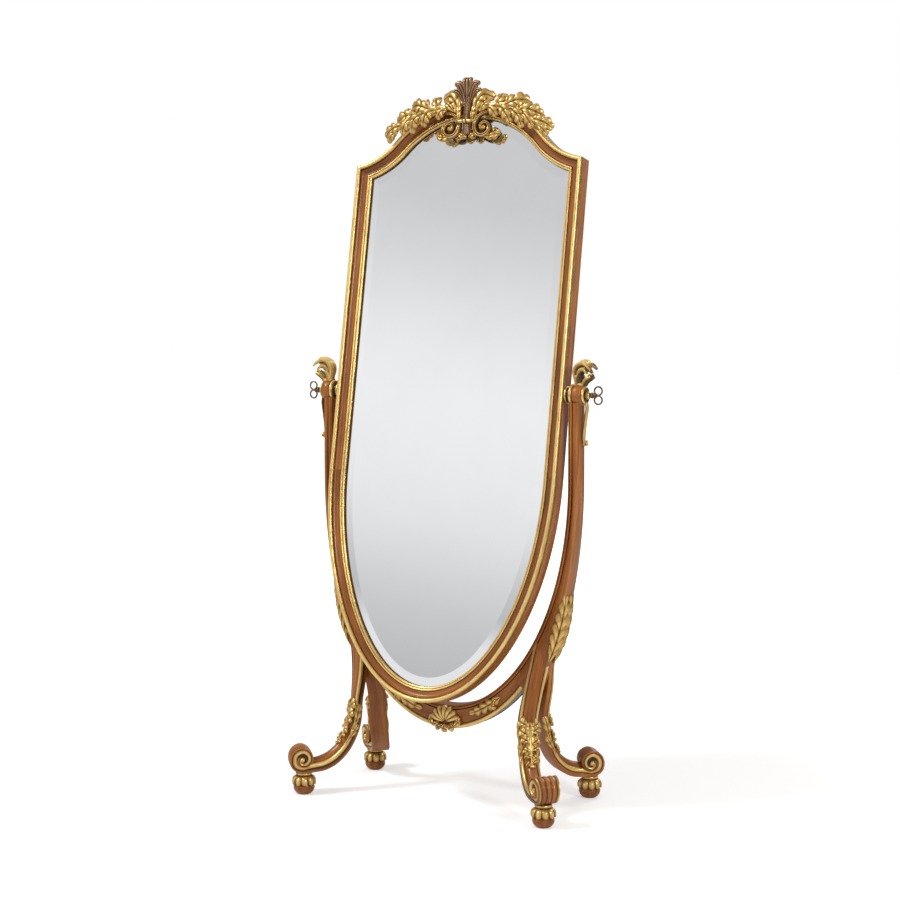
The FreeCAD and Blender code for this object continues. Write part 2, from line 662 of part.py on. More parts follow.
def check_and_write():
    """Stop on any failed object, then write each sub-part to its own file."""
    doc.recompute()
    for obj in doc.Objects:
        if "Invalid" in obj.State or "Error" in obj.State:
            raise RuntimeError(f"{obj.Label}: {obj.State}")
    for obj in PARTS:
        shape = obj.Shape
        if shape.isNull() or not shape.isValid() or not shape.Solids:
            raise RuntimeError(f"{obj.Label} has no valid solid")
    os.makedirs("parts", exist_ok=True)
    for obj in PARTS:
        obj.Shape.exportStep(f"parts/{obj.Label}.step")
        print(f"{obj.Label}: {len(obj.Shape.Solids)} solid, {obj.Shape.Volume / 1000:.1f} cm3")


build_mirror()
all_legs = build_stand()
build_crest()
for name_of_side, side_sign in SIDES:
    build_hub(name_of_side, side_sign)
    build_finial(name_of_side, side_sign)
    build_side_carving(name_of_side, side_sign)
    for name_of_end, end_sign in LEG_ENDS:
        build_leg_carving(f"{name_of_end}_{name_of_side}", end_sign, side_sign, all_legs)
build_rail_carvings()
check_and_write()
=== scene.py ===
"""The finished look of a cheval floor mirror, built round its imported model.

Sizes are in millimetres and are turned into metres when a piece is made. X runs along the pivot
axis, Z is up, and the glass faces -Y. The mirror's own plane has X across, V up from the pivot and
D behind it, and leans back at rest.
"""

import json
import logging
import math
from collections.abc import Callable, Sequence
from dataclasses import dataclass, field, replace
from enum import Enum

import bmesh
import bpy
import numpy as np
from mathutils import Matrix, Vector

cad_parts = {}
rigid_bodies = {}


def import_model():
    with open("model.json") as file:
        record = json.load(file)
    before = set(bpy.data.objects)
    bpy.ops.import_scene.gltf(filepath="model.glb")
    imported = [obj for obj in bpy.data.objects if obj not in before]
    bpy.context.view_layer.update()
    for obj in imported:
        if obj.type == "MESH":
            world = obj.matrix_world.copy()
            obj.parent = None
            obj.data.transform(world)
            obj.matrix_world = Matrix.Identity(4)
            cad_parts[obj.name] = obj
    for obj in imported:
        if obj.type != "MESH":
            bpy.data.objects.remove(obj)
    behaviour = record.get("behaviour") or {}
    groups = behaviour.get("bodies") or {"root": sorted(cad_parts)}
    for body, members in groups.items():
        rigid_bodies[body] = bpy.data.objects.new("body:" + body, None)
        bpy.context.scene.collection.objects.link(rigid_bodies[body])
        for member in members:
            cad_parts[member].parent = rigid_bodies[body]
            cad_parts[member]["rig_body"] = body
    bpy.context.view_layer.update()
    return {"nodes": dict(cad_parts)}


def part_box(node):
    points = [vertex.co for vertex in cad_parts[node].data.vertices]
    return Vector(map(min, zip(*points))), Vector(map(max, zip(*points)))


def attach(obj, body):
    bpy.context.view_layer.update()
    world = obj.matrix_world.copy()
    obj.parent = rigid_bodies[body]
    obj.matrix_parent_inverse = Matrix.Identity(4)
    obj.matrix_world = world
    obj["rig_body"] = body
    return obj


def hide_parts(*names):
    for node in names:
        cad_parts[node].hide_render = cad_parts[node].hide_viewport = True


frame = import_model()

MM = 0.001
MEMBER_LENGTH = 900.0  # each frame member's figure starts this far along the same plank
UPRIGHT_PLANK = 3000.0  # where the lyre's figure starts
LEG_PLANK = 1500.0  # where the legs' figure starts
UP = np.array([0.0, 0.0, 1.0])
TO_FRONT = (0.0, -1.0, 0.0)
Number = "Shade | float"
Point = Sequence[float]
log = logging.getLogger("cheval")


class Place(Enum):
    """A place on the stand, whose name is part of its nodes' names."""

    @property
    def word(self) -> str:
        """The place's name as the nodes spell it."""
        return self.name.lower()


class Side(Place):
    """The two sides of the stand; the value is the sign of X."""

    LEFT = -1
    RIGHT = 1


class End(Place):
    """The front and the rear of the stand; the value is the sign of Y."""

    FRONT = -1
    REAR = 1


class Run(Enum):
    """The runs of moulding that the mirror frame is made of."""

    TOP = "top"
    LEFT = "left"
    RIGHT = "right"
    BOW = "bow"


class Tint(Enum):
    """The finishes; the value is the record's material slot."""

    WALNUT = "walnut"
    GILT = "gilt"
    BRONZED = "bronzed_wood"
    SILVER = "mirror_silver"
    PLYWOOD = "plywood"
    BEECH = "beech"
    STEEL = "steel_screw"
    BRASS = "bearing_brass"
    DARK_BRONZE = "dark_bronze"


TINTS = list(Tint)
MATERIALS: dict[Tint, bpy.types.Material] = {}


# ---------------------------------------------------------------- shader writing

class Shade:
    """One value in a material's node tree, with arithmetic that adds Math nodes."""

    def __init__(self, tree: "Tree", socket: bpy.types.NodeSocket) -> None:
        """Wraps a socket.

        Args:
            tree: the node tree that holds it.
            socket: the output socket.
        """
        self.tree = tree
        self.socket = socket

    def _math(self, operation: str, first: Number, second: Number) -> "Shade":
        """Adds one Math node.

        Args:
            operation: the node's operation.
            first: its first value.
            second: its second value.

        Returns:
            The node's result.
        """
        return self.tree.node("ShaderNodeMath", {"operation": operation}, {0: first, 1: second})

    def __add__(self, other: Number) -> "Shade":
        """The sum."""
        return self._math("ADD", self, other)

    def __radd__(self, other: Number) -> "Shade":
        """The sum, with the plain number first."""
        return self._math("ADD", other, self)

    def __sub__(self, other: Number) -> "Shade":
        """The difference."""
        return self._math("SUBTRACT", self, other)

    def __rsub__(self, other: Number) -> "Shade":
        """The difference, with the plain number first."""
        return self._math("SUBTRACT", other, self)

    def __mul__(self, other: Number) -> "Shade":
        """The product."""
        return self._math("MULTIPLY", self, other)

    def __rmul__(self, other: Number) -> "Shade":
        """The product, with the plain number first."""
        return self._math("MULTIPLY", other, self)


class Tree:
    """The node tree of a material or a world while it is being written."""

    def __init__(self, owner: bpy.types.Material | bpy.types.World) -> None:
        """Starts an empty tree.

        Args:
            owner: the material or the world that it belongs to.
        """
        self.owner = owner
        owner.use_nodes = True
        self.tree = owner.node_tree
        self.tree.nodes.clear()

    def node(self, kind: str, settings: dict, values: dict, output: int | str = 0) -> Shade:
        """Adds one node: its settings first, then the values or links of its sockets.

        Args:
            kind: the node's type.
            settings: attributes to set; "stops" holds a ramp's (place, colour) pairs.
            values: plain values or shades, by socket name or number.
            output: the output socket to hand back.

        Returns:
            The chosen output.
        """
        made = self.tree.nodes.new(kind)
        for key, value in settings.items():
            if key == "stops":
                ramp = made.color_ramp.elements
                while len(ramp) < len(value):
                    ramp.new(0.5)
                for element, (place, colour) in zip(ramp, value):
                    element.position = place
                    element.color = (*colour, 1)
            else:
                setattr(made, key, value)
        for key, value in values.items():
            if isinstance(value, Shade):
                self.tree.links.new(value.socket, made.inputs[key])
            else:
                made.inputs[key].default_value = value
        return Shade(self, made.outputs[output])

    def mix(self, factor: Number, first: "Shade | Point", second: "Shade | Point",
            blend: str = "MIX") -> Shade:
        """Mixes two colours.

        Args:
            factor: how much of the second colour.
            first: the first colour.
            second: the second colour.
            blend: the blend type.

        Returns:
            The mixed colour.
        """
        colours = [c if isinstance(c, Shade) else (*c, 1) for c in (first, second)]
        settings = {"data_type": "RGBA", "blend_type": blend, "clamp_factor": True}
        return self.node("ShaderNodeMix", settings, {0: factor, 6: colours[0], 7: colours[1]}, 2)

    def ramp(self, value: Shade, *stops: tuple[float, Point]) -> Shade:
        """A colour ramp.

        Args:
            value: where on the ramp.
            stops: (place, colour) pairs.

        Returns:
            The colour.
        """
        return self.node("ShaderNodeValToRGB", {"stops": stops}, {"Fac": value})

    def step(self, value: Shade, low: float, high: float) -> Shade:
        """A smooth step from 0 at low to 1 at high.

        Args:
            value: what is compared.
            low: where the step starts.
            high: where it ends.

        Returns:
            The step's height.
        """
        settings = {"interpolation_type": "SMOOTHSTEP"}
        return self.node("ShaderNodeMapRange", settings, {0: value, 1: low, 2: high})

    def relief(self) -> Shade:
        """How proud the carving stands: 0 in a recess and 1 on a crest."""
        return self.node("ShaderNodeAttribute", {"attribute_name": "relief"}, {}, "Fac")

    def grain(self, stretch: Point) -> Shade:
        """The piece's own grain coordinates: along, across and through the wood.

        Args:
            stretch: how much each is multiplied.

        Returns:
            The stretched vector.
        """
        along = self.node("ShaderNodeAttribute", {"attribute_name": "grain"}, {}, "Vector")
        return self.node("ShaderNodeVectorMath", {"operation": "MULTIPLY"}, {0: along, 1: stretch})

    def place(self, stretch: Point = (1.0, 1.0, 1.0)) -> Shade:
        """The object's own coordinates, stretched.

        Args:
            stretch: how much each is multiplied.

        Returns:
            The stretched vector.
        """
        here = self.node("ShaderNodeTexCoord", {}, {}, "Object")
        return self.node("ShaderNodeVectorMath", {"operation": "MULTIPLY"}, {0: here, 1: stretch})

    def noise(self, where: Shade, scale: float, detail: float = 3, rough: float = 0.55) -> Shade:
        """Cloudy noise.

        Args:
            where: the coordinates.
            scale: how fine it is.
            detail: the number of octaves.
            rough: how strong the fine octaves are.

        Returns:
            The noise, about 0.5 on average.
        """
        values = {"Vector": where, "Scale": scale, "Detail": detail, "Roughness": rough}
        return self.node("ShaderNodeTexNoise", {}, values)

    def bump(self, height: Shade, strength: float, depth: float) -> Shade:
        """A bump normal.

        Args:
            height: the height from 0 to 1.
            strength: how strong it is.
            depth: the depth in metres.

        Returns:
            The normal.
        """
        values = {"Strength": strength, "Distance": depth, "Height": height}
        return self.node("ShaderNodeBump", {}, values)

    def surface(self, values: dict) -> bpy.types.Material:
        """Ends the tree with a principled surface.

        Args:
            values: its sockets' values or shades.

        Returns:
            The finished material.
        """
        self.show(self.node("ShaderNodeBsdfPrincipled", {}, values), "ShaderNodeOutputMaterial")
        return self.owner

    def show(self, surface: Shade, output: str) -> None:
        """Links a surface to the tree's output.

        Args:
            surface: what the material or the world shows.
            output: the type of its output node.
        """
        end = self.tree.nodes.new(output)
        self.tree.links.new(surface.socket, end.inputs["Surface"])


# ---------------------------------------------------------------- finishes

@dataclass(frozen=True)
class Walnut:
    """French-polished walnut with streaky figure, dark pores, worn arrises and painted shade in its
    recesses.
    """

    dark: Point = (0.110, 0.032, 0.006)
    middle: Point = (0.345, 0.110, 0.020)
    light: Point = (0.560, 0.215, 0.046)
    quirk: Point = (0.012, 0.005, 0.002)
    rubbed: Point = (0.480, 0.240, 0.100)
    polish: float = 0.16

    def make(self, name: str) -> bpy.types.Material:
        """Writes the material.

        Args:
            name: its name.

        Returns:
            The material.
        """
        tree = Tree(bpy.data.materials.new(name))
        figure = tree.noise(tree.grain((3.0, 26.0, 26.0)), 1.6, 4, 0.6)
        streaks = tree.noise(tree.grain((9.0, 260.0, 260.0)), 1.0, 3, 0.65)
        pores = tree.noise(tree.grain((60.0, 1500.0, 1500.0)), 1.0, 1)
        wood = tree.ramp(figure * 0.7 + streaks * 0.3, (0.28, self.dark), (0.50, self.middle),
                         (0.72, self.light))
        pore = tree.step(pores, 0.62, 0.74)
        wood = tree.mix(pore * 0.35, wood, self.dark)
        relief = tree.relief()
        # Painted shade: the wood turns near black where the relief attribute is low, in grooves and
        # recesses.
        wood = tree.mix((1 - tree.step(relief, 0.05, 0.58)) * 0.92, wood, self.quirk)
        worn = tree.step(relief, 0.86, 1.0) * tree.step(streaks, 0.42, 0.6)
        wood = tree.mix(worn * 0.45, wood, self.rubbed)
        rough = 0.24 + streaks * 0.16 + pore * 0.15
        return tree.surface({"Base Color": wood, "Roughness": rough, "Coat Weight": self.polish,
                             "Coat Roughness": 0.12, "Specular IOR Level": 0.32,
                             "Normal": tree.bump(streaks - pore * 0.5, 0.22, 0.0004)})


@dataclass(frozen=True)
class Gilding:
    """Antiqued gold leaf: a painted highlight on the crests, brown toning and painted shade in the
    hollows, bole rubbed through.
    """

    leaf: Point = (0.660, 0.390, 0.100)
    bright: Point = (0.960, 0.700, 0.270)
    glaze: Point = (0.050, 0.021, 0.007)
    bole: Point = (0.300, 0.110, 0.032)
    shine: float = 0.66

    def make(self, name: str) -> bpy.types.Material:
        """Writes the material.

        Args:
            name: its name.

        Returns:
            The material.
        """
        tree = Tree(bpy.data.materials.new(name))
        relief = tree.relief()
        clouds = tree.noise(tree.place(), 42.0, 4, 0.6)
        specks = tree.noise(tree.place(), 330.0, 3, 0.6)
        laps = tree.noise(tree.grain((14.0, 90.0, 90.0)), 1.0, 3, 0.6)
        # Painted highlight: the gold turns brighter where the relief attribute is high, on the crests.
        gold = tree.mix(tree.step(relief + clouds * 0.5, 0.82, 1.36), self.leaf, self.bright)
        gold = tree.mix(tree.step(laps, 0.52, 0.72) * 0.45, gold, self.bole)
        gold = tree.mix(tree.step(specks, 0.60, 0.72) * 0.30, gold, self.bole)
        # Brown toning and painted shade: the gold darkens to near black where the relief attribute is
        # low, in the hollows. The same mask dulls the metal and roughens it.
        glaze_and_shade_mask = 1 - tree.step(relief + (clouds - 0.5) * 0.5 + (specks - 0.5) * 0.3, 0.12, 0.74)
        gold = tree.mix(glaze_and_shade_mask * 0.92, gold, self.glaze)
        metal = self.shine * (1 - glaze_and_shade_mask * 0.8)
        rough = 0.27 + glaze_and_shade_mask * 0.3 + specks * 0.12
        return tree.surface({"Base Color": gold, "Metallic": metal, "Roughness": rough,
                             "Specular IOR Level": 0.5,
                             "Normal": tree.bump(specks * 0.6 + laps * 0.4, 0.25, 0.0005)})


@dataclass(frozen=True)
class Silvering:
    """Silvered plate glass, very slightly clouded."""

    clear: Point = (0.86, 0.865, 0.87)
    clouded: Point = (0.83, 0.835, 0.835)
    rim: Point = (0.34, 0.33, 0.30)

    def make(self, name: str) -> bpy.types.Material:
        """Writes the material.

        Args:
            name: its name.

        Returns:
            The material.
        """
        tree = Tree(bpy.data.materials.new(name))
        haze = tree.noise(tree.place(), 7.0, 3)
        tone = tree.mix(tree.step(haze, 0.35, 0.75) * 0.5, self.clear, self.clouded)
        edge = 1 - tree.step(tree.relief(), 0.0, 0.5)
        tone = tree.mix(edge * 0.7, tone, self.rim)
        return tree.surface({"Base Color": tone, "Metallic": 1.0, "Roughness": 0.012 + haze * 0.02})


@dataclass(frozen=True)
class PlainWood:
    """Unpolished wood seen only behind or inside: plywood or beech."""

    light: Point
    dark: Point
    stretch: Point

    def make(self, name: str) -> bpy.types.Material:
        """Writes the material.

        Args:
            name: its name.

        Returns:
            The material.
        """
        tree = Tree(bpy.data.materials.new(name))
        streaks = tree.noise(tree.place(self.stretch), 1.0, 4, 0.6)
        flecks = tree.noise(tree.place((900.0, 900.0, 160.0)), 1.0, 2)
        wood = tree.ramp(streaks, (0.35, self.dark), (0.62, self.light))
        wood = tree.mix(tree.step(flecks, 0.60, 0.72) * 0.4, wood, self.dark)
        return tree.surface({"Base Color": wood, "Roughness": 0.55 + streaks * 0.2,
                             "Normal": tree.bump(streaks, 0.25, 0.0003)})


@dataclass(frozen=True)
class Metal:
    """Worked metal with tarnish in cloudy patches."""

    bright: Point
    tarnish: Point
    rough: float
    metallic: float = 1.0

    def make(self, name: str) -> bpy.types.Material:
        """Writes the material.

        Args:
            name: its name.

        Returns:
            The material.
        """
        tree = Tree(bpy.data.materials.new(name))
        clouds = tree.noise(tree.place(), 120.0, 4, 0.6)
        marks = tree.noise(tree.place(), 900.0, 2)
        tone = tree.mix(tree.step(clouds, 0.42, 0.68), self.bright, self.tarnish)
        return tree.surface({"Base Color": tone, "Metallic": self.metallic,
                             "Roughness": self.rough + clouds * 0.2,
                             "Normal": tree.bump(marks, 0.12, 0.0002)})


FINISHES = {
    Tint.WALNUT: Walnut(),
    Tint.GILT: Gilding(),
    # The bronzed finish has the same painted highlight on its crests and painted shade in its hollows.
    Tint.BRONZED: Gilding(leaf=(0.230, 0.112, 0.046), bright=(0.460, 0.270, 0.130),
                          glaze=(0.040, 0.017, 0.007), bole=(0.130, 0.050, 0.022), shine=0.25),
    Tint.SILVER: Silvering(),
    Tint.PLYWOOD: PlainWood((0.560, 0.380, 0.210), (0.400, 0.240, 0.120), (60.0, 900.0, 6.0)),
    Tint.BEECH: PlainWood((0.620, 0.400, 0.220), (0.450, 0.260, 0.130), (240.0, 240.0, 30.0)),
    Tint.STEEL: Metal((0.62, 0.62, 0.60), (0.30, 0.27, 0.24), 0.28),
    Tint.BRASS: Metal((0.78, 0.56, 0.24), (0.42, 0.27, 0.10), 0.26),
    Tint.DARK_BRONZE: Metal((0.250, 0.160, 0.095), (0.095, 0.062, 0.040), 0.34, 0.7),
}


# ---------------------------------------------------------------- shapes

def smooth_path(knots: np.ndarray, per: int = 10) -> np.ndarray:
    """A smooth path through every knot.

    Args:
        knots: the knots, one row each, with any number of columns.
        per: the number of points from one knot to the next.

    Returns:
        The points of the path.
    """
    knots = np.asarray(knots, float)
    padded = np.vstack([2 * knots[0] - knots[1], knots, 2 * knots[-1] - knots[-2]])
    t = np.linspace(0, 1, per, endpoint=False)[:, None]
    spans = []
    for a, b, c, d in zip(padded, padded[1:], padded[2:], padded[3:]):
        spans.append(0.5 * (2 * b + (c - a) * t + (2 * a - 5 * b + 4 * c - d) * t ** 2
                            + (3 * b - a - 3 * c + d) * t ** 3))
    return np.vstack([*spans, knots[-1:]])


def unit(vectors: np.ndarray) -> np.ndarray:
    """The vectors at length 1."""
    return vectors / np.maximum(np.linalg.norm(vectors, axis=-1, keepdims=True), 1e-9)


def lengths(path: np.ndarray) -> np.ndarray:
    """Distance along a path at each of its points."""
    steps = np.linalg.norm(np.diff(path, axis=0), axis=1)
    return np.concatenate([[0.0], np.cumsum(steps)])


@dataclass
class Stretch:
    """Part of a moulding's section in one finish."""

    points: np.ndarray
    tint: Tint
    relief: np.ndarray


def flat(tint: Tint, *points: Point, relief: float | Sequence[float] = 0.6) -> Stretch:
    """Straight facets of a section.

    Args:
        tint: the finish.
        points: the corners.
        relief: how proud each corner is.

    Returns:
        The stretch.
    """
    return Stretch(np.array(points, float), tint, np.broadcast_to(relief, len(points)).astype(float))


def round_over(tint: Tint, start: Point, end: Point, rise: float, count: int = 9,
               low: float = 0.2, high: float = 1.0) -> Stretch:
    """A round of a section: a bead if it rises to the left of its direction, a cove if not.

    Args:
        tint: the finish.
        start: where it starts.
        end: where it ends.
        rise: how far its middle stands off the chord.
        count: the number of points.
        low: how proud its ends are.
        high: how proud its middle is.

    Returns:
        The stretch.
    """
    a, b = np.array(start, float), np.array(end, float)
    chord = np.linalg.norm(b - a)
    along = (b - a) / chord
    across = np.array([-along[1], along[0]])
    half = 2 * math.atan(2 * abs(rise) / chord)
    radius = chord / (2 * math.sin(half))
    turn = np.linspace(-half, half, count)
    offset = radius * (np.cos(turn) - math.cos(half)) * math.copysign(1, rise)
    points = (a + b) / 2 + np.outer(radius * np.sin(turn), along) + np.outer(offset, across)
    relief = low + (high - low) * np.sin(np.linspace(0, math.pi, count))
    return Stretch(points, tint, relief)


@dataclass
class Section:
    """A moulding's section: points, the finish of each gap and how proud each point is."""

    points: np.ndarray
    tints: np.ndarray
    relief: np.ndarray


def reversed_half(half: Sequence[Stretch], flip: Point) -> list[Stretch]:
    """The other half of a section that has two like halves.

    Args:
        half: the first half, in order.
        flip: what each point is multiplied by.

    Returns:
        The second half, in order.
    """
    return [Stretch(s.points[::-1] * flip, s.tint, s.relief[::-1]) for s in half[::-1]]


def section(stretches: Sequence[Stretch], closed: bool = True) -> Section:
    """Joins stretches end to end.

    Args:
        stretches: the stretches in order.
        closed: whether the last point joins the first.

    Returns:
        The section.
    """
    points, tints, relief = [], [], []
    for stretch in stretches:
        tint = TINTS.index(stretch.tint)
        for point, height in zip(stretch.points, stretch.relief):
            if points and np.allclose(point, points[-1], atol=1e-6):
                continue
            if points:
                tints.append(tint)
            points.append(point)
            relief.append(height)
    if closed and np.allclose(points[0], points[-1], atol=1e-6):
        points.pop()
        relief.pop()
    elif closed:
        tints.append(tints[-1])
    return Section(np.array(points), np.array(tints), np.array(relief))


def swept_grain(run: np.ndarray, shape: Section) -> np.ndarray:
    """Grain of a swept section: along the run, then across and through the section.

    Args:
        run: distance along the run at each station.
        shape: the section.

    Returns:
        Stations by points by 3.
    """
    along = np.broadcast_to(run[:, None, None], (len(run), len(shape.points), 1))
    return np.concatenate([along, np.broadcast_to(shape.points, (*along.shape[:2], 2))], -1)


class Solid:
    """Surfaces gathered in millimetres and made into one piece at the end."""

    def __init__(self) -> None:
        """Starts with nothing."""
        self.points: list[np.ndarray] = []
        self.grain: list[np.ndarray] = []
        self.relief: list[np.ndarray] = []
        self.faces: list[list[int]] = []
        self.tints: list[int] = []
        self.count = 0

    def grid(self, points: np.ndarray, tints: np.ndarray | Tint, relief: np.ndarray | float = 0.6,
             grain: np.ndarray | None = None, rounds: tuple[bool, bool] = (False, True)) -> None:
        """Adds rows of points joined by four-sided faces.

        Args:
            points: rows by columns by 3.
            tints: one finish, or one for each gap between columns.
            relief: how proud each point is.
            grain: along, across and through at each point; the points themselves if left out.
            rounds: whether the rows, and the columns, close on themselves. Where only the columns
                do, the first and the last row are closed with a face.
        """
        rows, columns = points.shape[:2]
        index = self.count + np.arange(rows * columns).reshape(rows, columns)
        ring = np.vstack([index, index[:1]]) if rounds[0] else index
        ring = np.hstack([ring, ring[:, :1]]) if rounds[1] else ring
        quads = np.stack([ring[:-1, :-1], ring[1:, :-1], ring[1:, 1:], ring[:-1, 1:]], -1)
        tint = TINTS.index(tints) if isinstance(tints, Tint) else tints
        self.faces += quads.reshape(-1, 4).tolist()
        self.tints += np.broadcast_to(tint, quads.shape[:2]).reshape(-1).tolist()
        if rounds[1] and not rounds[0]:
            self.faces += [index[0][::-1].tolist(), index[-1].tolist()]
            self.tints += [int(np.ravel(tint)[0])] * 2
        self.points.append(points.reshape(-1, 3))
        self.relief.append(np.broadcast_to(relief, (rows, columns)).reshape(-1))
        self.grain.append((points if grain is None else grain).reshape(-1, 3))
        self.count += rows * columns

    def build(self, name: str, node: str, sharp: float | None = 42.0) -> None:
        """Makes the piece that stands for a CAD node and rides on its body.

        Args:
            name: the piece's name.
            node: the CAD node that it stands for.
            sharp: the angle over which an edge is crisp; every face is flat if None.
        """
        mesh = bpy.data.meshes.new(name)
        mesh.from_pydata((np.vstack(self.points) * MM).tolist(), [], self.faces)
        # The relief values mark recesses and crests. From them the finishes paint shade in the recesses,
        # a highlight on the gilt crests, and wear on the walnut's crests.
        values = np.clip(np.concatenate(self.relief), 0, 1)
        mesh.attributes.new("relief", "FLOAT", "POINT").data.foreach_set("value", values)
        grain = mesh.attributes.new("grain", "FLOAT_VECTOR", "POINT")
        grain.data.foreach_set("vector", (np.vstack(self.grain) * MM).ravel())
        used = sorted(set(self.tints))
        for number in used:
            mesh.materials.append(MATERIALS[TINTS[number]])
        mesh.polygons.foreach_set("material_index", [used.index(t) for t in self.tints])
        work = bmesh.new()
        work.from_mesh(mesh)
        bmesh.ops.remove_doubles(work, verts=work.verts, dist=2e-6)
        bmesh.ops.dissolve_degenerate(work, edges=work.edges, dist=1e-6)
        bmesh.ops.recalc_face_normals(work, faces=work.faces)
        work.to_mesh(mesh)
        work.free()
        mesh.polygons.foreach_set("use_smooth", [sharp is not None] * len(mesh.polygons))
        if sharp is not None:
            mesh.set_sharp_from_angle(angle=math.radians(sharp))
        piece = bpy.data.objects.new(name, mesh)
        bpy.context.scene.collection.objects.link(piece)
        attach(piece, frame["nodes"][node]["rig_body"])
        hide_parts(node)
        log.info("%s: %d faces, for %s", name, len(mesh.polygons), node)


@dataclass
class Lathe:
    """Turns a half section about an axis."""

    origin: Point
    axis: Point = (0.0, 0.0, 1.0)
    count: int = 56

    def turn(self, solid: Solid, shape: Section, closed: bool = False,
             wave: Callable[[np.ndarray, np.ndarray, np.ndarray], tuple] | None = None) -> None:
        """Adds the turned surface to a solid.

        Args:
            solid: what it is added to.
            shape: (distance along the axis, radius) points.
            closed: whether the section is a loop, as for a ring.
            wave: changes distances and radii with the angle, for gadroons.
        """
        axis = unit(np.array(self.axis, float))
        first = unit(np.cross(axis, UP if abs(axis[2]) < 0.9 else np.array([1.0, 0.0, 0.0])))
        second = np.cross(axis, first)
        angles = np.linspace(0, 2 * math.pi, self.count, endpoint=False)[:, None]
        along = np.broadcast_to(shape.points[:, 0], (self.count, len(shape.points)))
        radius = np.broadcast_to(shape.points[:, 1], along.shape)
        if wave is not None:
            along, radius = wave(along, radius, angles)
        spoke = np.cos(angles)[..., None] * first + np.sin(angles)[..., None] * second
        points = np.array(self.origin, float) + along[..., None] * axis + radius[..., None] * spoke
        relief = np.broadcast_to(shape.relief, along.shape)
        grain = np.stack([along, radius * np.cos(angles), radius * np.sin(angles)], -1)
        solid.grid(points, shape.tints, relief, grain, rounds=(True, closed))


def tube(solid: Solid, path: np.ndarray, radius: np.ndarray | float, tint: Tint, count: int = 12,
         ring: bool = False, squash: float = 1.0, face: Point = TO_FRONT) -> None:
    """Adds a round rod along a path.

    Args:
        solid: what it is added to.
        path: the points of its centre line.
        radius: its radius, the same all along or at each point.
        tint: its finish.
        count: the number of points round it.
        ring: whether the path closes on itself.
        squash: its thickness towards the face, as a share of its width.
        face: the direction that its flatter side faces.
    """
    ahead, behind = np.roll(path, -1, axis=0), np.roll(path, 1, axis=0)
    if not ring:
        ahead[-1], behind[0] = path[-1], path[0]
    along = unit(ahead - behind)
    show = np.array(face, float)
    normal = unit(show - along * (along @ show)[:, None])
    across = np.cross(along, normal)
    turn = np.linspace(0, 2 * math.pi, count, endpoint=False)
    radii = np.broadcast_to(radius, len(path))[:, None, None]
    points = path[:, None] + radii * (np.cos(turn)[None, :, None] * across[:, None]
                                      + squash * np.sin(turn)[None, :, None] * normal[:, None])
    relief = np.broadcast_to(0.45 + 0.55 * np.sin(turn), points.shape[:2])
    run = np.broadcast_to(lengths(path)[:, None], relief.shape)
    grain = np.stack([run, np.broadcast_to(turn, relief.shape) * 3, relief * 3], -1)
    solid.grid(points, tint, relief, grain, rounds=(ring, True))


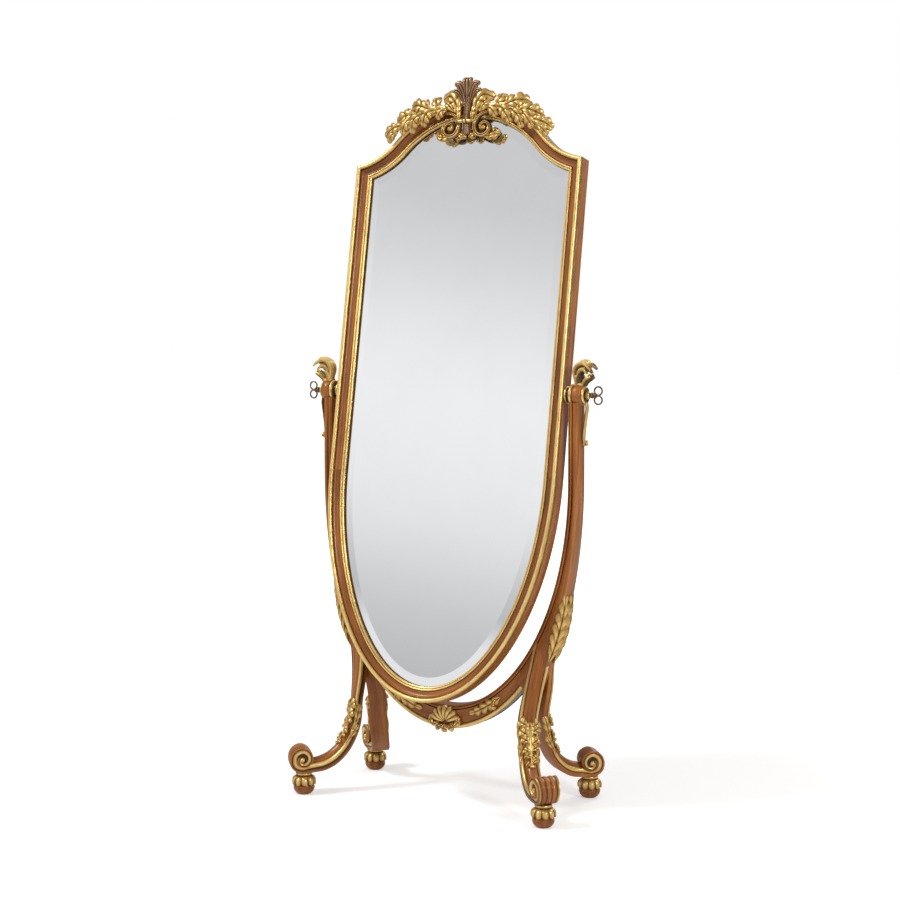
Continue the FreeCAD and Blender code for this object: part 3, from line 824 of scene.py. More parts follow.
@dataclass
class Leaf:
    """One carved leaf: fingers on both flanks of a rib, hollowed, with a solid back.

    Attributes:
        spine: knots of the rib's line, from the root to the tip.
        half: half width of the leaf where it is widest.
        lobes: fingers on each flank.
        face: the direction that the leaf shows, one for all or one for each knot.
        thick: thickness behind the surface.
        crown: how far the middle stands above the edges.
        lean: how far the fingers point towards the tip.
        notch: how deep the cuts between the fingers are.
        widest: where along the spine it is widest.
        flutes: ridges that run along the leaf.
        tint: its finish.
    """

    spine: Sequence[Point]
    half: float
    lobes: int
    face: Point | Sequence[Point] = (0.0, 0.0, -1.0)
    thick: float = 4.0
    crown: float = 4.0
    lean: float = 0.55
    notch: float = 0.55
    widest: float = 0.5
    flutes: int = 0
    tint: Tint = Tint.GILT

    def carve(self, solid: Solid, place: Callable[[np.ndarray], np.ndarray] = lambda p: p) -> None:
        """Adds the leaf to a solid.

        Args:
            solid: what it is added to.
            place: puts the leaf's own points in the stand's frame.
        """
        path = smooth_path(np.array(self.spine, float), 10)
        run = lengths(path)
        run /= run[-1]
        faces = np.atleast_2d(np.array(self.face, float))
        if len(faces) > 1:
            faces = smooth_path(faces, 10)
        ahead = unit(np.gradient(path, run, axis=0))
        normal = unit(faces - ahead * np.sum(ahead * faces, axis=1, keepdims=True))
        across = np.cross(ahead, normal)
        rows = self.lobes * 8 + 3
        s = np.linspace(0.0, 1.0, rows)[:, None]
        w = np.linspace(-1, 1, 13)[None, :]
        lobe = np.abs(np.sin(math.pi * self.lobes * s)) ** 0.6
        power = math.log(0.5) / math.log(self.widest)
        swell = np.sin(math.pi * np.clip(s, 0.02, 0.985) ** power) ** 0.6
        reach = self.half * swell * (1 - self.notch + self.notch * lobe)
        shift = self._leant(s, w)
        rib = np.exp(-(w / 0.13) ** 2)
        fingers = lobe * np.sin(math.pi * np.abs(w)) ** 0.8
        height = self.crown * swell * (0.75 * (1 - w ** 2) + 0.55 * fingers - 0.34 * rib)
        relief = 0.16 + 0.62 * lobe * (1 - 0.35 * np.abs(w)) + 0.25 * (1 - w ** 2) - 0.75 * rib
        if self.flutes:
            flute = np.abs(np.cos(math.pi * self.flutes * w / 2))
            height = self.crown * swell * (0.6 * (1 - w ** 2) + 0.5 * flute ** 0.7)
            relief = np.broadcast_to(0.05 + 0.9 * flute, height.shape)
        front = self._at(path, run, shift) + self._at(across, run, shift) * (w * reach)[..., None]
        front = front + self._at(normal, run, shift) * height[..., None]
        back_w = np.array([0.86, 0.35, -0.35, -0.86])[None, :]
        back_s = self._leant(s, back_w)
        back = self._at(path, run, back_s) + self._at(across, run, back_s) * (back_w * reach)[..., None]
        back = back - self._at(normal, run, back_s) * (self.thick * swell)[..., None]
        points = np.concatenate([front, back], axis=1)
        relief = np.concatenate([relief, np.full((rows, 4), 0.85)], axis=1)
        grain = np.concatenate([shift * run.size, np.broadcast_to(back_s * run.size, (rows, 4))], 1)
        grain = np.stack([grain * 4, points[..., 0], points[..., 2]], -1)
        solid.grid(place(points), self.tint, relief, grain)

    def _leant(self, s: np.ndarray, w: np.ndarray) -> np.ndarray:
        """Fractions of the spine's length, moved towards the tip the further out they are.

        Args:
            s: fractions of the length.
            w: places across, from -1 to 1.

        Returns:
            The moved fractions.
        """
        return np.clip(s + self.lean / self.lobes * np.abs(w) ** 1.4 * (1 - 0.6 * s), 0, 1.0)

    @staticmethod
    def _at(values: np.ndarray, run: np.ndarray, where: np.ndarray) -> np.ndarray:
        """Values along the spine at any fractions of its length.

        Args:
            values: one row at each point of the spine.
            run: the fraction of each point.
            where: the fractions wanted.

        Returns:
            An array with one more axis than where.
        """
        return np.stack([np.interp(where, run, values[:, i]) for i in range(3)], -1)


# ---------------------------------------------------------------- mirror

@dataclass
class MirrorPlane:
    """The mirror's own plane at rest."""

    pivot: float = float((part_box("left_hub")[0].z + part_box("left_hub")[1].z) / 2 / MM)
    lean: float = 10.2

    def place(self, points: np.ndarray) -> np.ndarray:
        """Puts points of the plane in the stand's frame.

        Args:
            points: (across, up from the pivot, behind) in the last axis.

        Returns:
            The same points as X, Y, Z.
        """
        turn = math.radians(self.lean)
        x, v, d = np.moveaxis(np.asarray(points, float), -1, 0)
        y = v * math.sin(turn) + d * math.cos(turn)
        z = self.pivot + v * math.cos(turn) - d * math.sin(turn)
        return np.stack([x, y, z], -1)

    @property
    def forward(self) -> np.ndarray:
        """The direction that the glass faces."""
        return self.place(np.array([0.0, 0.0, -1.0])) - self.place(np.zeros(3))


@dataclass
class Outline:
    """Sight line of the mirror: an arch, two hollows, straight sides and a half-ellipse."""

    sight_half: float = 294.0
    arch_centre: float = 477.0
    arch_radius: float = 256.0
    arch_turn: float = 48.0
    hollow_radius: float = 242.0
    bow_centre: float = -215.0
    bow_depth: float = 553.0

    def top(self, grow: float) -> np.ndarray:
        """The arch with its hollows, from the left corner to the right.

        Args:
            grow: how far outside the sight line.

        Returns:
            (across, up) points.
        """
        turn = math.radians(self.arch_turn)
        reach = self.arch_radius + self.hollow_radius
        cx, cv = reach * math.sin(turn), self.arch_centre + reach * math.cos(turn)
        arch, hollow = self.arch_radius + grow, self.hollow_radius - grow
        end = math.asin((cx - self.sight_half - grow) / hollow)
        dip = np.linspace(turn, end, 22)[1:]
        crown = np.linspace(0, turn, 30)
        x = np.concatenate([arch * np.sin(crown), cx - hollow * np.sin(dip)])
        v = np.concatenate([self.arch_centre + arch * np.cos(crown), cv - hollow * np.cos(dip)])
        right = np.stack([x, v], -1)
        return np.vstack([right[:0:-1] * [-1, 1], right])

    def side(self, grow: float, sign: int) -> np.ndarray:
        """A straight side, from its corner down.

        Args:
            grow: how far outside the sight line.
            sign: the sign of X.

        Returns:
            (across, up) points.
        """
        corner = self.top(grow)[-1]
        v = np.linspace(corner[1], self.bow_centre, 12)
        return np.stack([np.full(12, sign * corner[0]), v], -1)

    def bow(self, grow: float) -> np.ndarray:
        """The half-ellipse, from right to left.

        Args:
            grow: how far outside the sight line.

        Returns:
            (across, up) points.
        """
        turn = np.linspace(0, math.pi, 97)
        x = (self.sight_half + grow) * np.cos(turn)
        return np.stack([x, self.bow_centre - (self.bow_depth + grow) * np.sin(turn)], -1)

    def run(self, kind: Run, grow: float) -> np.ndarray:
        """One run of the moulding.

        Args:
            kind: which run.
            grow: how far outside the sight line.

        Returns:
            (across, up) points.
        """
        if kind is Run.TOP:
            return self.top(grow)
        if kind is Run.BOW:
            return self.bow(grow)
        return self.side(grow, 1 if kind is Run.RIGHT else -1)

    def whole(self, grow: float) -> np.ndarray:
        """The closed outline.

        Args:
            grow: how far outside the sight line.

        Returns:
            (across, up) points.
        """
        right, left = self.side(grow, 1), self.side(grow, -1)[::-1]
        return np.vstack([self.top(grow), right[1:-1], self.bow(grow), left[1:-1]])


@dataclass
class MirrorFrame:
    """Moulded frame, slips, bevelled glass and pivot bosses."""

    plane: MirrorPlane = field(default_factory=MirrorPlane)
    outline: Outline = field(default_factory=Outline)
    face_width: float = 42.0
    slip_width: float = 12.0
    bead_width: float = 11.5
    back: float = 25.0
    glass_front: float = -3.0
    glass_back: float = 3.0
    bevel: float = 23.0

    def moulding(self) -> Section:
        """Section of a frame member: (outward from the sight line, behind the pivot plane)."""
        out, cove = self.face_width, self.face_width - self.bead_width
        slip = self.slip_width
        wood, gold = Tint.WALNUT, Tint.GILT
        return section([
            flat(wood, (slip, 3), (slip, -11.5), relief=0.2),
            flat(wood, (slip, -11.5), (slip + 1.2, -11), (slip + 2, -11.8), relief=(0.1, 0.1, 0.6)),
            round_over(wood, (slip + 2, -11.8), (cove - 1.6, -18.5), 3.6, 9, 0.50, 0.44),
            flat(wood, (cove - 1.6, -18.5), (cove - 0.6, -17.6), (cove, -19), relief=(0.7, 0.0, 0.1)),
            flat(gold, (cove, -19), (cove + 0.2, -22), relief=(0.1, 0.5)),
            round_over(gold, (cove + 0.2, -22), (out - 0.2, -21.6), -5.3, 13, 0.5, 1.0),
            flat(gold, (out - 0.2, -21.6), (out, -16), relief=(0.5, 0.15)),
            flat(wood, (out, -16), (out - 1.6, -15), (out - 1.6, -13.6), relief=(0.1, 0.0, 0.1)),
            round_over(wood, (out - 1.6, -13.6), (out - 0.2, -10), -1.0, 5, 0.6, 0.95),
            flat(wood, (out - 0.2, -10), (out - 0.2, self.back - 1.5), (out - 1.7, self.back),
                 relief=(0.6, 0.6, 0.9)),
            flat(wood, (out - 1.7, self.back), (20, self.back), (20, 3), (slip, 3), relief=0.5),
        ])

    def slip(self) -> Section:
        """Section of the gilt slip: two beads and a fall to the glass."""
        gold, wide = Tint.GILT, self.slip_width
        return section([
            flat(gold, (0, -3), (0, -5.5), (0.8, -7.5), relief=(0.0, 0.15, 0.45)),
            round_over(gold, (0.8, -7.5), (6.0, -11.2), -1.7, 7, 0.45, 1.0),
            flat(gold, (6.0, -11.2), (6.5, -10.7), relief=(0.3, 0.05)),
            round_over(gold, (6.5, -10.7), (wide, -11.6), -2.6, 9, 0.35, 1.0),
            flat(gold, (wide, -11.6), (wide, -3), (0, -3), relief=0.1),
        ])

    def sweep(self, solid: Solid, kind: Run, shape: Section) -> None:
        """Runs a section along one run of the outline.

        Args:
            solid: what it is added to.
            kind: which run.
            shape: the section.
        """
        curves = np.stack([self.outline.run(kind, grow) for grow in shape.points[:, 0]], 1)
        depth = np.broadcast_to(shape.points[:, 1], curves.shape[:2])
        points = self.plane.place(np.concatenate([curves, depth[..., None]], -1))
        grain = swept_grain(lengths(curves[:, 0]) + MEMBER_LENGTH * list(Run).index(kind), shape)
        solid.grid(points, shape.tints, np.broadcast_to(shape.relief, depth.shape), grain)

    def make_members(self) -> None:
        """Makes the four frame members and the slips."""
        names = {Run.TOP: "top_rail", Run.LEFT: "left_stile", Run.RIGHT: "right_stile",
                 Run.BOW: "bottom_bow"}
        shape, slip = self.moulding(), self.slip()
        for kind, node in names.items():
            solid = Solid()
            self.sweep(solid, kind, shape)
            solid.build("moulded_" + node, node)
        for node, kinds in (("top_slip", [Run.TOP]), ("side_slips", [Run.LEFT, Run.RIGHT]),
                            ("bottom_slip", [Run.BOW])):
            solid = Solid()
            for kind in kinds:
                self.sweep(solid, kind, slip)
            solid.build("gilt_" + node, node)

    def make_glass(self) -> None:
        """Makes the plate with its ground bevel."""
        rim, front, back = 7.5, self.glass_front, self.glass_back
        lines = [(-self.bevel, front, 1.0), (-4.0, front + 1.0, 1.0), (0.0, front + 1.2, 0.55),
                 (rim, front + 1.5, 0.3), (rim, back, 0.3), (-self.bevel, back, 0.5)]
        loops = []
        for grow, depth, _ in lines:
            loop = self.outline.whole(grow)
            loops.append(self.plane.place(np.column_stack([loop, np.full(len(loop), depth)])))
        solid = Solid()
        relief = np.array([line[2] for line in lines])[:, None]
        solid.grid(np.stack(loops), Tint.SILVER, np.broadcast_to(relief, (len(lines), len(loops[0]))))
        solid.build("bevelled_glass", "mirror_glass", sharp=None)

    def make_bosses(self) -> None:
        """Makes the turned discs between the frame and the hubs."""
        for side in Side:
            low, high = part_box(side.word + "_pivot_boss")
            start, thick = min(abs(low.x), abs(high.x)) / MM, abs(high.x - low.x) / MM
            radius = (high.z - low.z) / 2 / MM - 6.5
            shape = section([
                flat(Tint.WALNUT, (0, 5.2), (0, radius - 4), relief=0.3),
                flat(Tint.GILT, (0, radius - 4), (1.0, radius - 1.2), relief=0.3),
                round_over(Tint.GILT, (1.0, radius - 1.2), (thick - 1.6, radius - 1.2), 2.2, 9),
                flat(Tint.GILT, (thick - 1.6, radius - 1.2), (thick - 1.0, radius - 3.0),
                     (thick, radius - 4.2), relief=(0.3, 0.1, 0.7)),
                flat(Tint.WALNUT, (thick, radius - 4.2), (thick, 5.2), (0, 5.2), relief=0.4)])
            solid = Solid()
            origin = (side.value * start, 0, self.plane.pivot)
            Lathe(origin, (side.value, 0, 0), 64).turn(solid, shape, closed=True)
            solid.build(f"turned_{side.word}_boss", side.word + "_pivot_boss")

    def make(self) -> None:
        """Makes every piece of the frame."""
        self.make_members()
        self.make_glass()
        self.make_bosses()


@dataclass
class Crest:
    """Carved plume, tie bar, scrolls and leaf sprays on the crown of the frame."""

    plane: MirrorPlane = field(default_factory=MirrorPlane)
    face: float = -27.0
    eye: tuple[float, float] = (51.0, 700.0)
    bar_height: float = 716.0
    drop: float = 6.5
    lowered_from: float = 725.0

    @staticmethod
    def cut(spine: Sequence[Point], half: float, lobes: int, crown: float = 4.0,
            widest: float = 0.5) -> Leaf:
        """A spray's leaf, with its fingers cut as deep as all of the spray's.

        Args:
            spine: knots of the rib's line.
            half: half width of the leaf.
            lobes: fingers on each flank.
            crown: how far the middle stands above the edges.
            widest: where along the spine it is widest.

        Returns:
            The leaf.
        """
        return Leaf(spine, half, lobes, crown=crown, widest=widest, notch=0.42)

    def leaves(self) -> list[Leaf]:
        """The leaves of the right-hand spray: points are (across, up, behind)."""
        return [
            self.cut([(24, 714, -36), (25, 748, -41), (34, 776, -46), (52, 792, -43), (76, 785, -33)],
                     19, 4, 6, 0.62),
            Leaf([(18, 712, -42), (20, 738, -47), (24, 768, -43)], 8, 2, crown=3),
            self.cut([(80, 752, -35), (90, 770, -40), (97, 785, -36), (99, 797, -26)], 18, 3, 5, 0.6),
            self.cut([(98, 756, -36), (122, 764, -43), (148, 773, -40), (176, 774, -27)], 22, 4, 5, 0.6),
            self.cut([(144, 740, -36), (168, 748, -43), (194, 743, -39), (217, 725, -27)],
                     21, 4, 5, 0.55),
            self.cut([(186, 716, -36), (210, 710, -43), (232, 702, -37), (250, 688, -27)], 19, 4, 5),
            self.cut([(204, 704, -35), (222, 690, -40), (238, 672, -31)], 13, 3),
            self.cut([(112, 762, -40), (124, 776, -42), (134, 786, -32)], 14, 2),
            self.cut([(160, 744, -40), (176, 756, -42), (190, 760, -32)], 13, 2),
            self.cut([(58, 757, -38), (74, 752, -46), (90, 734, -40)], 14, 3),
            self.cut([(86, 760, -38), (108, 752, -49), (122, 734, -49), (130, 708, -38)], 18, 4, 6),
            self.cut([(124, 754, -38), (142, 742, -49), (156, 722, -47), (164, 692, -36)], 16, 4, 6),
            self.cut([(160, 738, -37), (176, 724, -46), (188, 706, -42), (194, 690, -34)], 14, 3, 5),
            self.cut([(40, 750, -38), (50, 764, -43), (66, 776, -40)], 12, 2),
        ]

    def mirrored(self, leaf: Leaf, sign: int) -> Leaf:
        """The same leaf on either side.

        Args:
            leaf: a leaf of the right-hand side.
            sign: the sign of X.

        Returns:
            The leaf with its spine moved.
        """
        lowered = self.lowered_from
        return replace(leaf, spine=[(sign * x, v - self.drop * (v > lowered), d)
                                    for x, v, d in leaf.spine])

    def make_spray(self, side: Side) -> None:
        """Makes one spray: a stem along the arch with leaves above and below it.

        Args:
            side: which side.
        """
        solid = Solid()
        stem = [(34, 748, -34), (62, 757, -36), (95, 760, -37), (130, 754, -38), (160, 738, -38),
                (190, 716, -38), (224, 692, -35)]
        path = smooth_path(np.array([(side.value * x, v, d) for x, v, d in stem]), 8)
        radius = np.linspace(6.5, 2.5, len(path))
        tube(solid, self.plane.place(path), radius, Tint.GILT, face=self.plane.forward)
        for leaf in self.leaves():
            self.mirrored(leaf, side.value).carve(solid, self.plane.place)
        solid.build(f"carved_{side.word}_spray", f"crest_{side.word}_spray")

    def make_scroll(self, side: Side) -> None:
        """Makes one C-scroll with its eye and the leaves under it.

        Args:
            side: which side.
        """
        solid = Solid()
        turn = np.radians(np.arange(70, 661, 10.0))
        knots = np.radians([70, 90, 180, 270, 360, 450, 540, 630, 660])
        outer = np.interp(turn, knots, [49, 45, 31.5, 25.5, 21, 17, 12, 7, 6])
        wide = np.interp(turn, knots, [5, 7, 9.5, 9, 8, 7, 6, 4.5, 4])
        centre = outer - wide / 2
        x = self.eye[0] + centre * np.cos(turn)
        v = self.eye[1] + centre * np.sin(turn)
        proud = np.interp(turn, knots, [-33, -36, -42, -43.5, -43, -42, -41, -42, -42])
        path = np.stack([side.value * x, v, np.zeros_like(x)], -1)
        across = unit(np.stack([side.value * np.cos(turn), np.sin(turn), np.zeros_like(x)], -1))
        w = np.array([-0.5, -0.5, -0.42, -0.28, -0.1, 0.02, 0.14, 0.3, 0.44, 0.5, 0.5])
        rise = np.array([0.0, 0.7, 0.92, 1.0, 0.93, 0.80, 0.93, 1.0, 0.9, 0.68, 0.0])
        relief = np.array([0.0, 0.4, 0.8, 1.0, 0.5, 0.05, 0.5, 1.0, 0.8, 0.4, 0.0])
        depth = self.face + 2 + (proud - self.face - 2)[:, None] * rise
        points = path[:, None] + across[:, None] * (w * wide[:, None])[..., None]
        points[..., 2] = depth
        grain = np.stack([np.broadcast_to(lengths(path)[:, None], depth.shape), w * wide[:, None],
                          depth], -1)
        solid.grid(self.plane.place(points), Tint.GILT, np.broadcast_to(relief, depth.shape), grain)
        disc = section([flat(Tint.GILT, (-6, 0.1), (-6, 15), (0, 19), relief=0.9),
                        flat(Tint.WALNUT, (0, 19), (4, 20), (6, 17), (6, 6), relief=0.1),
                        round_over(Tint.GILT, (6, 6), (15, 0.1), 2.5, 7, 0.3, 1.0)], closed=False)
        origin = self.plane.place(np.array([side.value * self.eye[0], self.eye[1], self.face + 1]))
        Lathe(origin, self.plane.forward, 40).turn(solid, disc)
        under = [
            Leaf([(40, 692, -26), (52, 680, -32), (68, 676, -33), (84, 682, -30), (94, 694, -24)],
                 10, 4, widest=0.55, thick=12),
            Leaf([(32, 692, -26), (22, 684, -31), (12, 680, -30), (3, 684, -26)], 8, 3, thick=12),
        ]
        for leaf in under:
            self.mirrored(leaf, side.value).carve(solid, self.plane.place)
        solid.build(f"carved_{side.word}_scroll", f"crest_{side.word}_scroll")

    def make_plume(self) -> None:
        """Makes the bronzed plume: a ribbed stem that opens into curled feathers."""
        solid = Solid()
        bronze = Tint.BRONZED
        stem = ((684, 11, 34), (704, 12, 38), (735, 12, 42), (768, 12, 44), (794, 15, 44), (812, 15, 41))
        height, half, proud = smooth_path(np.array(stem, float), 6).T[:, :, None]
        w = np.linspace(-1, 1, 25)
        ribs = np.abs(np.cos(math.pi * 3 * w))
        depth = self.face - (proud + self.face) * np.sqrt(1 - 0.75 * w ** 2) - 2.4 * ribs
        points = np.stack([w * half, np.broadcast_to(height, depth.shape), depth], -1)
        back = points[:, ::-6].copy()
        back[..., 2] = self.face + 1
        points = np.concatenate([points, back], 1)
        relief = np.concatenate([0.1 + 0.85 * ribs, np.full(back.shape[1], 0.2)])
        relief = np.broadcast_to(relief, points.shape[:2])
        solid.grid(self.plane.place(points), bronze, relief, points[..., [1, 0, 2]])
        feather = {"lobes": 2, "flutes": 3, "crown": 6, "tint": bronze}
        beside = [
            Leaf([(6, 750, -38), (12, 776, -41), (23, 795, -43), (33, 803, -47), (39, 795, -48)], 10,
                 notch=0.2, widest=0.64, **feather),
            Leaf([(5, 755, -40), (10, 788, -43), (17, 810, -46), (26, 821, -50), (33, 815, -50)], 12,
                 notch=0.2, widest=0.66, **feather),
        ]
        for sign in (-1, 1):
            for leaf in beside:
                self.mirrored(leaf, sign).carve(solid, self.plane.place)
        Leaf([(0, 745, -42), (0, 780, -46), (0, 808, -47), (0, 826, -51), (0, 832, -45)], 16,
             notch=0.15, widest=0.74, **feather).carve(solid, self.plane.place)
        solid.build("carved_crest_plume", "crest_plume")

    def make_bar(self) -> None:
        """Makes the gilt bar that ties the scrolls."""
        half, radius = 27.5, 5.0
        gold = Tint.GILT
        side = [round_over(gold, (-half, 0.1), (-half + 4, radius - 1), 1.4, 5, 0.5, 1.0),
                flat(gold, (-half + 4, radius - 1), (-half + 5, radius - 1.8), relief=(0.4, 0.05)),
                round_over(gold, (-half + 5, radius - 1.8), (-4, radius - 1.2), 1.2, 9, 0.4, 0.9)]
        ring = [round_over(gold, (-4, radius - 1.2), (4, radius - 1.2), 2.0, 9, 0.1, 1.0)]
        shape = section(side + ring + reversed_half(side, (-1, 1)), closed=False)
        solid = Solid()
        origin = self.plane.place(np.array([0.0, self.bar_height, -48.0]))
        Lathe(origin, (1, 0, 0), 28).turn(solid, shape)
        solid.build("turned_tie_bar", "crest_tie_bar")

    def make(self) -> None:
        """Makes every piece of the crest."""
        for side in Side:
            self.make_spray(side)
            self.make_scroll(side)
        self.make_plume()
        self.make_bar()


# ---------------------------------------------------------------- stand

@dataclass
class Lyre:
    """Uprights and rail, sawn to an ellipse, with their carvings."""

    centre: float = 850.0
    inner_half: float = 352.0
    inner_drop: float = 602.0
    outer_half: float = 379.0
    outer_drop: float = 764.0
    rail_half: float = 385.0
    rail_drop: float = 664.0
    depth: float = 25.0
    joint: float = 57.0
    top: float = 1054.0

    def edge(self, turn: np.ndarray) -> tuple[np.ndarray, np.ndarray]:
        """Points of the inner ellipse, and the outward directions there.

        Args:
            turn: angles in degrees, measured down from the right.

        Returns:
            (X, Z) points and unit directions.
        """
        a = np.radians(turn)
        points = np.stack([self.inner_half * np.cos(a), self.centre - self.inner_drop * np.sin(a)], -1)
        out = unit(np.stack([np.cos(a) / self.inner_half, -np.sin(a) / self.inner_drop], -1))
        return points, out

    def width(self, points: np.ndarray, out: np.ndarray, half: float, drop: float) -> np.ndarray:
        """Distance from the inner edge to an outer ellipse.

        Args:
            points: where it starts.
            out: the direction.
            half: the outer ellipse's half width.
            drop: its depth below the centre.

        Returns:
            The distances.
        """
        low, high = np.zeros(len(points)), np.full(len(points), 140.0)
        halvings = 40
        for _ in range(halvings):
            middle = (low + high) / 2
            there = points + out * middle[:, None]
            inside = (there[:, 0] / half) ** 2 + ((self.centre - there[:, 1]) / drop) ** 2 < 1
            low, high = np.where(inside, middle, low), np.where(inside, high, middle)
        return low

    def front_half(self, wide: float, rail: bool) -> list[Stretch]:
        """Front half of the section, from the inner edge outward; Y is negative.

        Args:
            wide: the width of the wood.
            rail: whether it is the rail, which has a gilt bead on its lower edge.

        Returns:
            The stretches.
        """
        wood, gold, front = Tint.WALNUT, Tint.GILT, -self.depth
        shared = [
            flat(wood, (0, 0), (0, front + 2.4), relief=(0.5, 0.6)),
            round_over(wood, (0, front + 2.4), (3.4, front + 0.6), -0.9, 5, 0.6, 0.95),
            flat(wood, (3.4, front + 0.6), (4.1, front + 2.6), (4.8, front + 1.8),
                 relief=(0.6, 0.0, 0.1)),
            round_over(wood, (4.8, front + 1.8), (10.2, front + 1.8), -2.2, 9, 0.3, 0.95),
            flat(wood, (10.2, front + 1.8), (11.6, front + 3.2), (13.2, front + 0.6),
                 relief=(0.1, 0.0, 0.6)),
        ]
        if rail:
            return shared + [
                round_over(wood, (13.2, front + 0.6), (wide - 13, front + 1.0), -0.8, 7, 0.6, 0.7),
                flat(wood, (wide - 13, front + 1.0), (wide - 12, front + 2.8), relief=(0.5, 0.0)),
                flat(gold, (wide - 12, front + 2.8), (wide - 11.4, front + 1.0), relief=(0.0, 0.3)),
                round_over(gold, (wide - 11.4, front + 1.0), (wide, front + 6.5), -4.6, 11, 0.3, 1.0),
                flat(wood, (wide, front + 6.5), (wide - 1.4, front + 7.5), (wide - 1.4, 0),
                     relief=(0.1, 0.05, 0.4))]
        return shared + [
            round_over(wood, (13.2, front + 0.6), (wide - 8, front), -1.6, 9, 0.6, 0.72),
            round_over(wood, (wide - 8, front), (wide - 0.5, front + 9), -2.6, 7, 0.7, 0.98),
            flat(wood, (wide - 0.5, front + 9), (wide, 0), relief=0.6)]

    def sweep(self, solid: Solid, points: np.ndarray, out: np.ndarray, widths: np.ndarray,
              rail: bool, sign: int = 1) -> None:
        """Runs the section along the inner edge.

        Args:
            solid: what it is added to.
            points: (X, Z) points of the inner edge.
            out: the outward directions.
            widths: the width of the wood at each point.
            rail: whether it is the rail.
            sign: the sign of X.
        """
        rings = []
        for start, way, wide in zip(points, out, widths):
            front = self.front_half(wide, rail)
            shape = section(front + reversed_half(front, (1, -1)))
            across, deep = shape.points[:, :1], shape.points[:, 1]
            there = start + across * way
            rings.append(np.stack([sign * there[:, 0], deep, there[:, 1]], -1))
        rings = np.stack(rings)
        grain = swept_grain(lengths(points) + UPRIGHT_PLANK, shape)
        solid.grid(rings, shape.tints, np.broadcast_to(shape.relief, rings.shape[:2]), grain)

    def make_uprights(self) -> None:
        """Makes the two lyre-curved uprights."""
        turns = np.linspace(0, self.joint, 40)
        points, out = self.edge(turns)
        straight = np.linspace(self.top, self.centre, 9)[:-1]
        points = np.vstack([np.stack([np.full(8, self.inner_half), straight], -1), points])
        out = np.vstack([np.tile([1.0, 0.0], (8, 1)), out])
        curved = self.width(points[8:], out[8:], self.outer_half, self.outer_drop)
        widths = np.concatenate([np.full(8, self.outer_half - self.inner_half), curved])
        for side in Side:
            solid = Solid()
            self.sweep(solid, points, out, widths, False, side.value)
            solid.build(f"moulded_{side.word}_upright", side.word + "_upright")

    def make_rail(self) -> None:
        """Makes the curved rail between the uprights."""
        points, out = self.edge(np.linspace(self.joint - 3, 183 - self.joint, 64))
        widths = self.width(points, out, self.rail_half, self.rail_drop)
        solid = Solid()
        self.sweep(solid, points, out, widths, True)
        solid.build("moulded_stretcher_rail", "stretcher_rail")

    def make_shell(self) -> None:
        """Makes the shell in the middle of the rail, with small leaves under it."""
        solid = Solid()
        front = -self.depth
        ribs, reach = 7, 52.0
        angle = np.linspace(-1.35, 1.35, ribs * 8 + 1)[:, None]
        out = np.linspace(0.0, 1.0, 13)[None, :]
        rib = np.abs(np.sin(ribs * math.pi * (angle + 1.35) / 2.7))
        long = reach * (0.78 + 0.10 * np.cos(angle)) * (0.9 + 0.1 * rib)
        radius = 5 + (long - 5) * out
        rise = 4 + 9.5 * np.sin(math.pi * np.clip(out, 0, 0.93) * 0.95) ** 0.7
        rise = rise + 2.6 * rib ** 0.8 * np.minimum(1, out * 2) * np.sin(math.pi * out) ** 0.4
        x = radius * np.sin(angle)
        z = 203 + radius * np.cos(angle)
        points = np.stack([x, front - rise, z], -1)
        back = points[:, ::-4].copy()
        back[..., 1] = front + 1
        crest = np.broadcast_to(0.05 + 0.95 * rib ** 0.7, rise.shape)
        relief = np.concatenate([crest, np.full((len(angle), 4), 0.2)], 1)
        solid.grid(np.concatenate([points, back], 1), Tint.GILT, relief)
        for sign in (-1, 1):
            curl = [(sign * 12, front - 5, 205), (sign * 32, front - 11, 198),
                    (sign * 42, front - 9, 210), (sign * 36, front - 5, 222)]
            Leaf(curl, 9, 3, TO_FRONT).carve(solid)
            low = [(sign * 4, front - 4, 198), (sign * 16, front - 9, 190), (sign * 27, front - 6, 184)]
            Leaf(low, 8, 2, TO_FRONT).carve(solid)
        middle = [(0, front - 5, 202), (0, front - 12, 190), (0, front - 7, 177)]
        Leaf(middle, 10, 2, TO_FRONT).carve(solid)
        solid.build("carved_stretcher_shell", "stretcher_shell")

    def make_rail_sprays(self) -> None:
        """Makes the leaf sprays on the front of the rail."""
        solid = Solid()
        for sign in (-1, 1):
            spine = []
            for turn, proud in ((79, 2), (74, 7), (68, 7), (63, 3)):
                a = math.radians(turn)
                x = sign * (self.inner_half + 20) * math.cos(a)
                z = self.centre - (self.inner_drop + 27) * math.sin(a)
                spine.append((x, -self.depth - proud, z))
            Leaf(spine[::-1], 15, 5, TO_FRONT, thick=3, widest=0.4).carve(solid)
            middle = np.array(spine[2])
            for lift in (-1, 1):
                tip = middle + [sign * 12, -2, 14 * lift]
                line = [middle, (middle + tip) / 2 + [0, -3, 0], tip]
                Leaf(line, 7, 2, TO_FRONT, thick=3).carve(solid)
        solid.build("carved_stretcher_sprays", "stretcher_sprays")

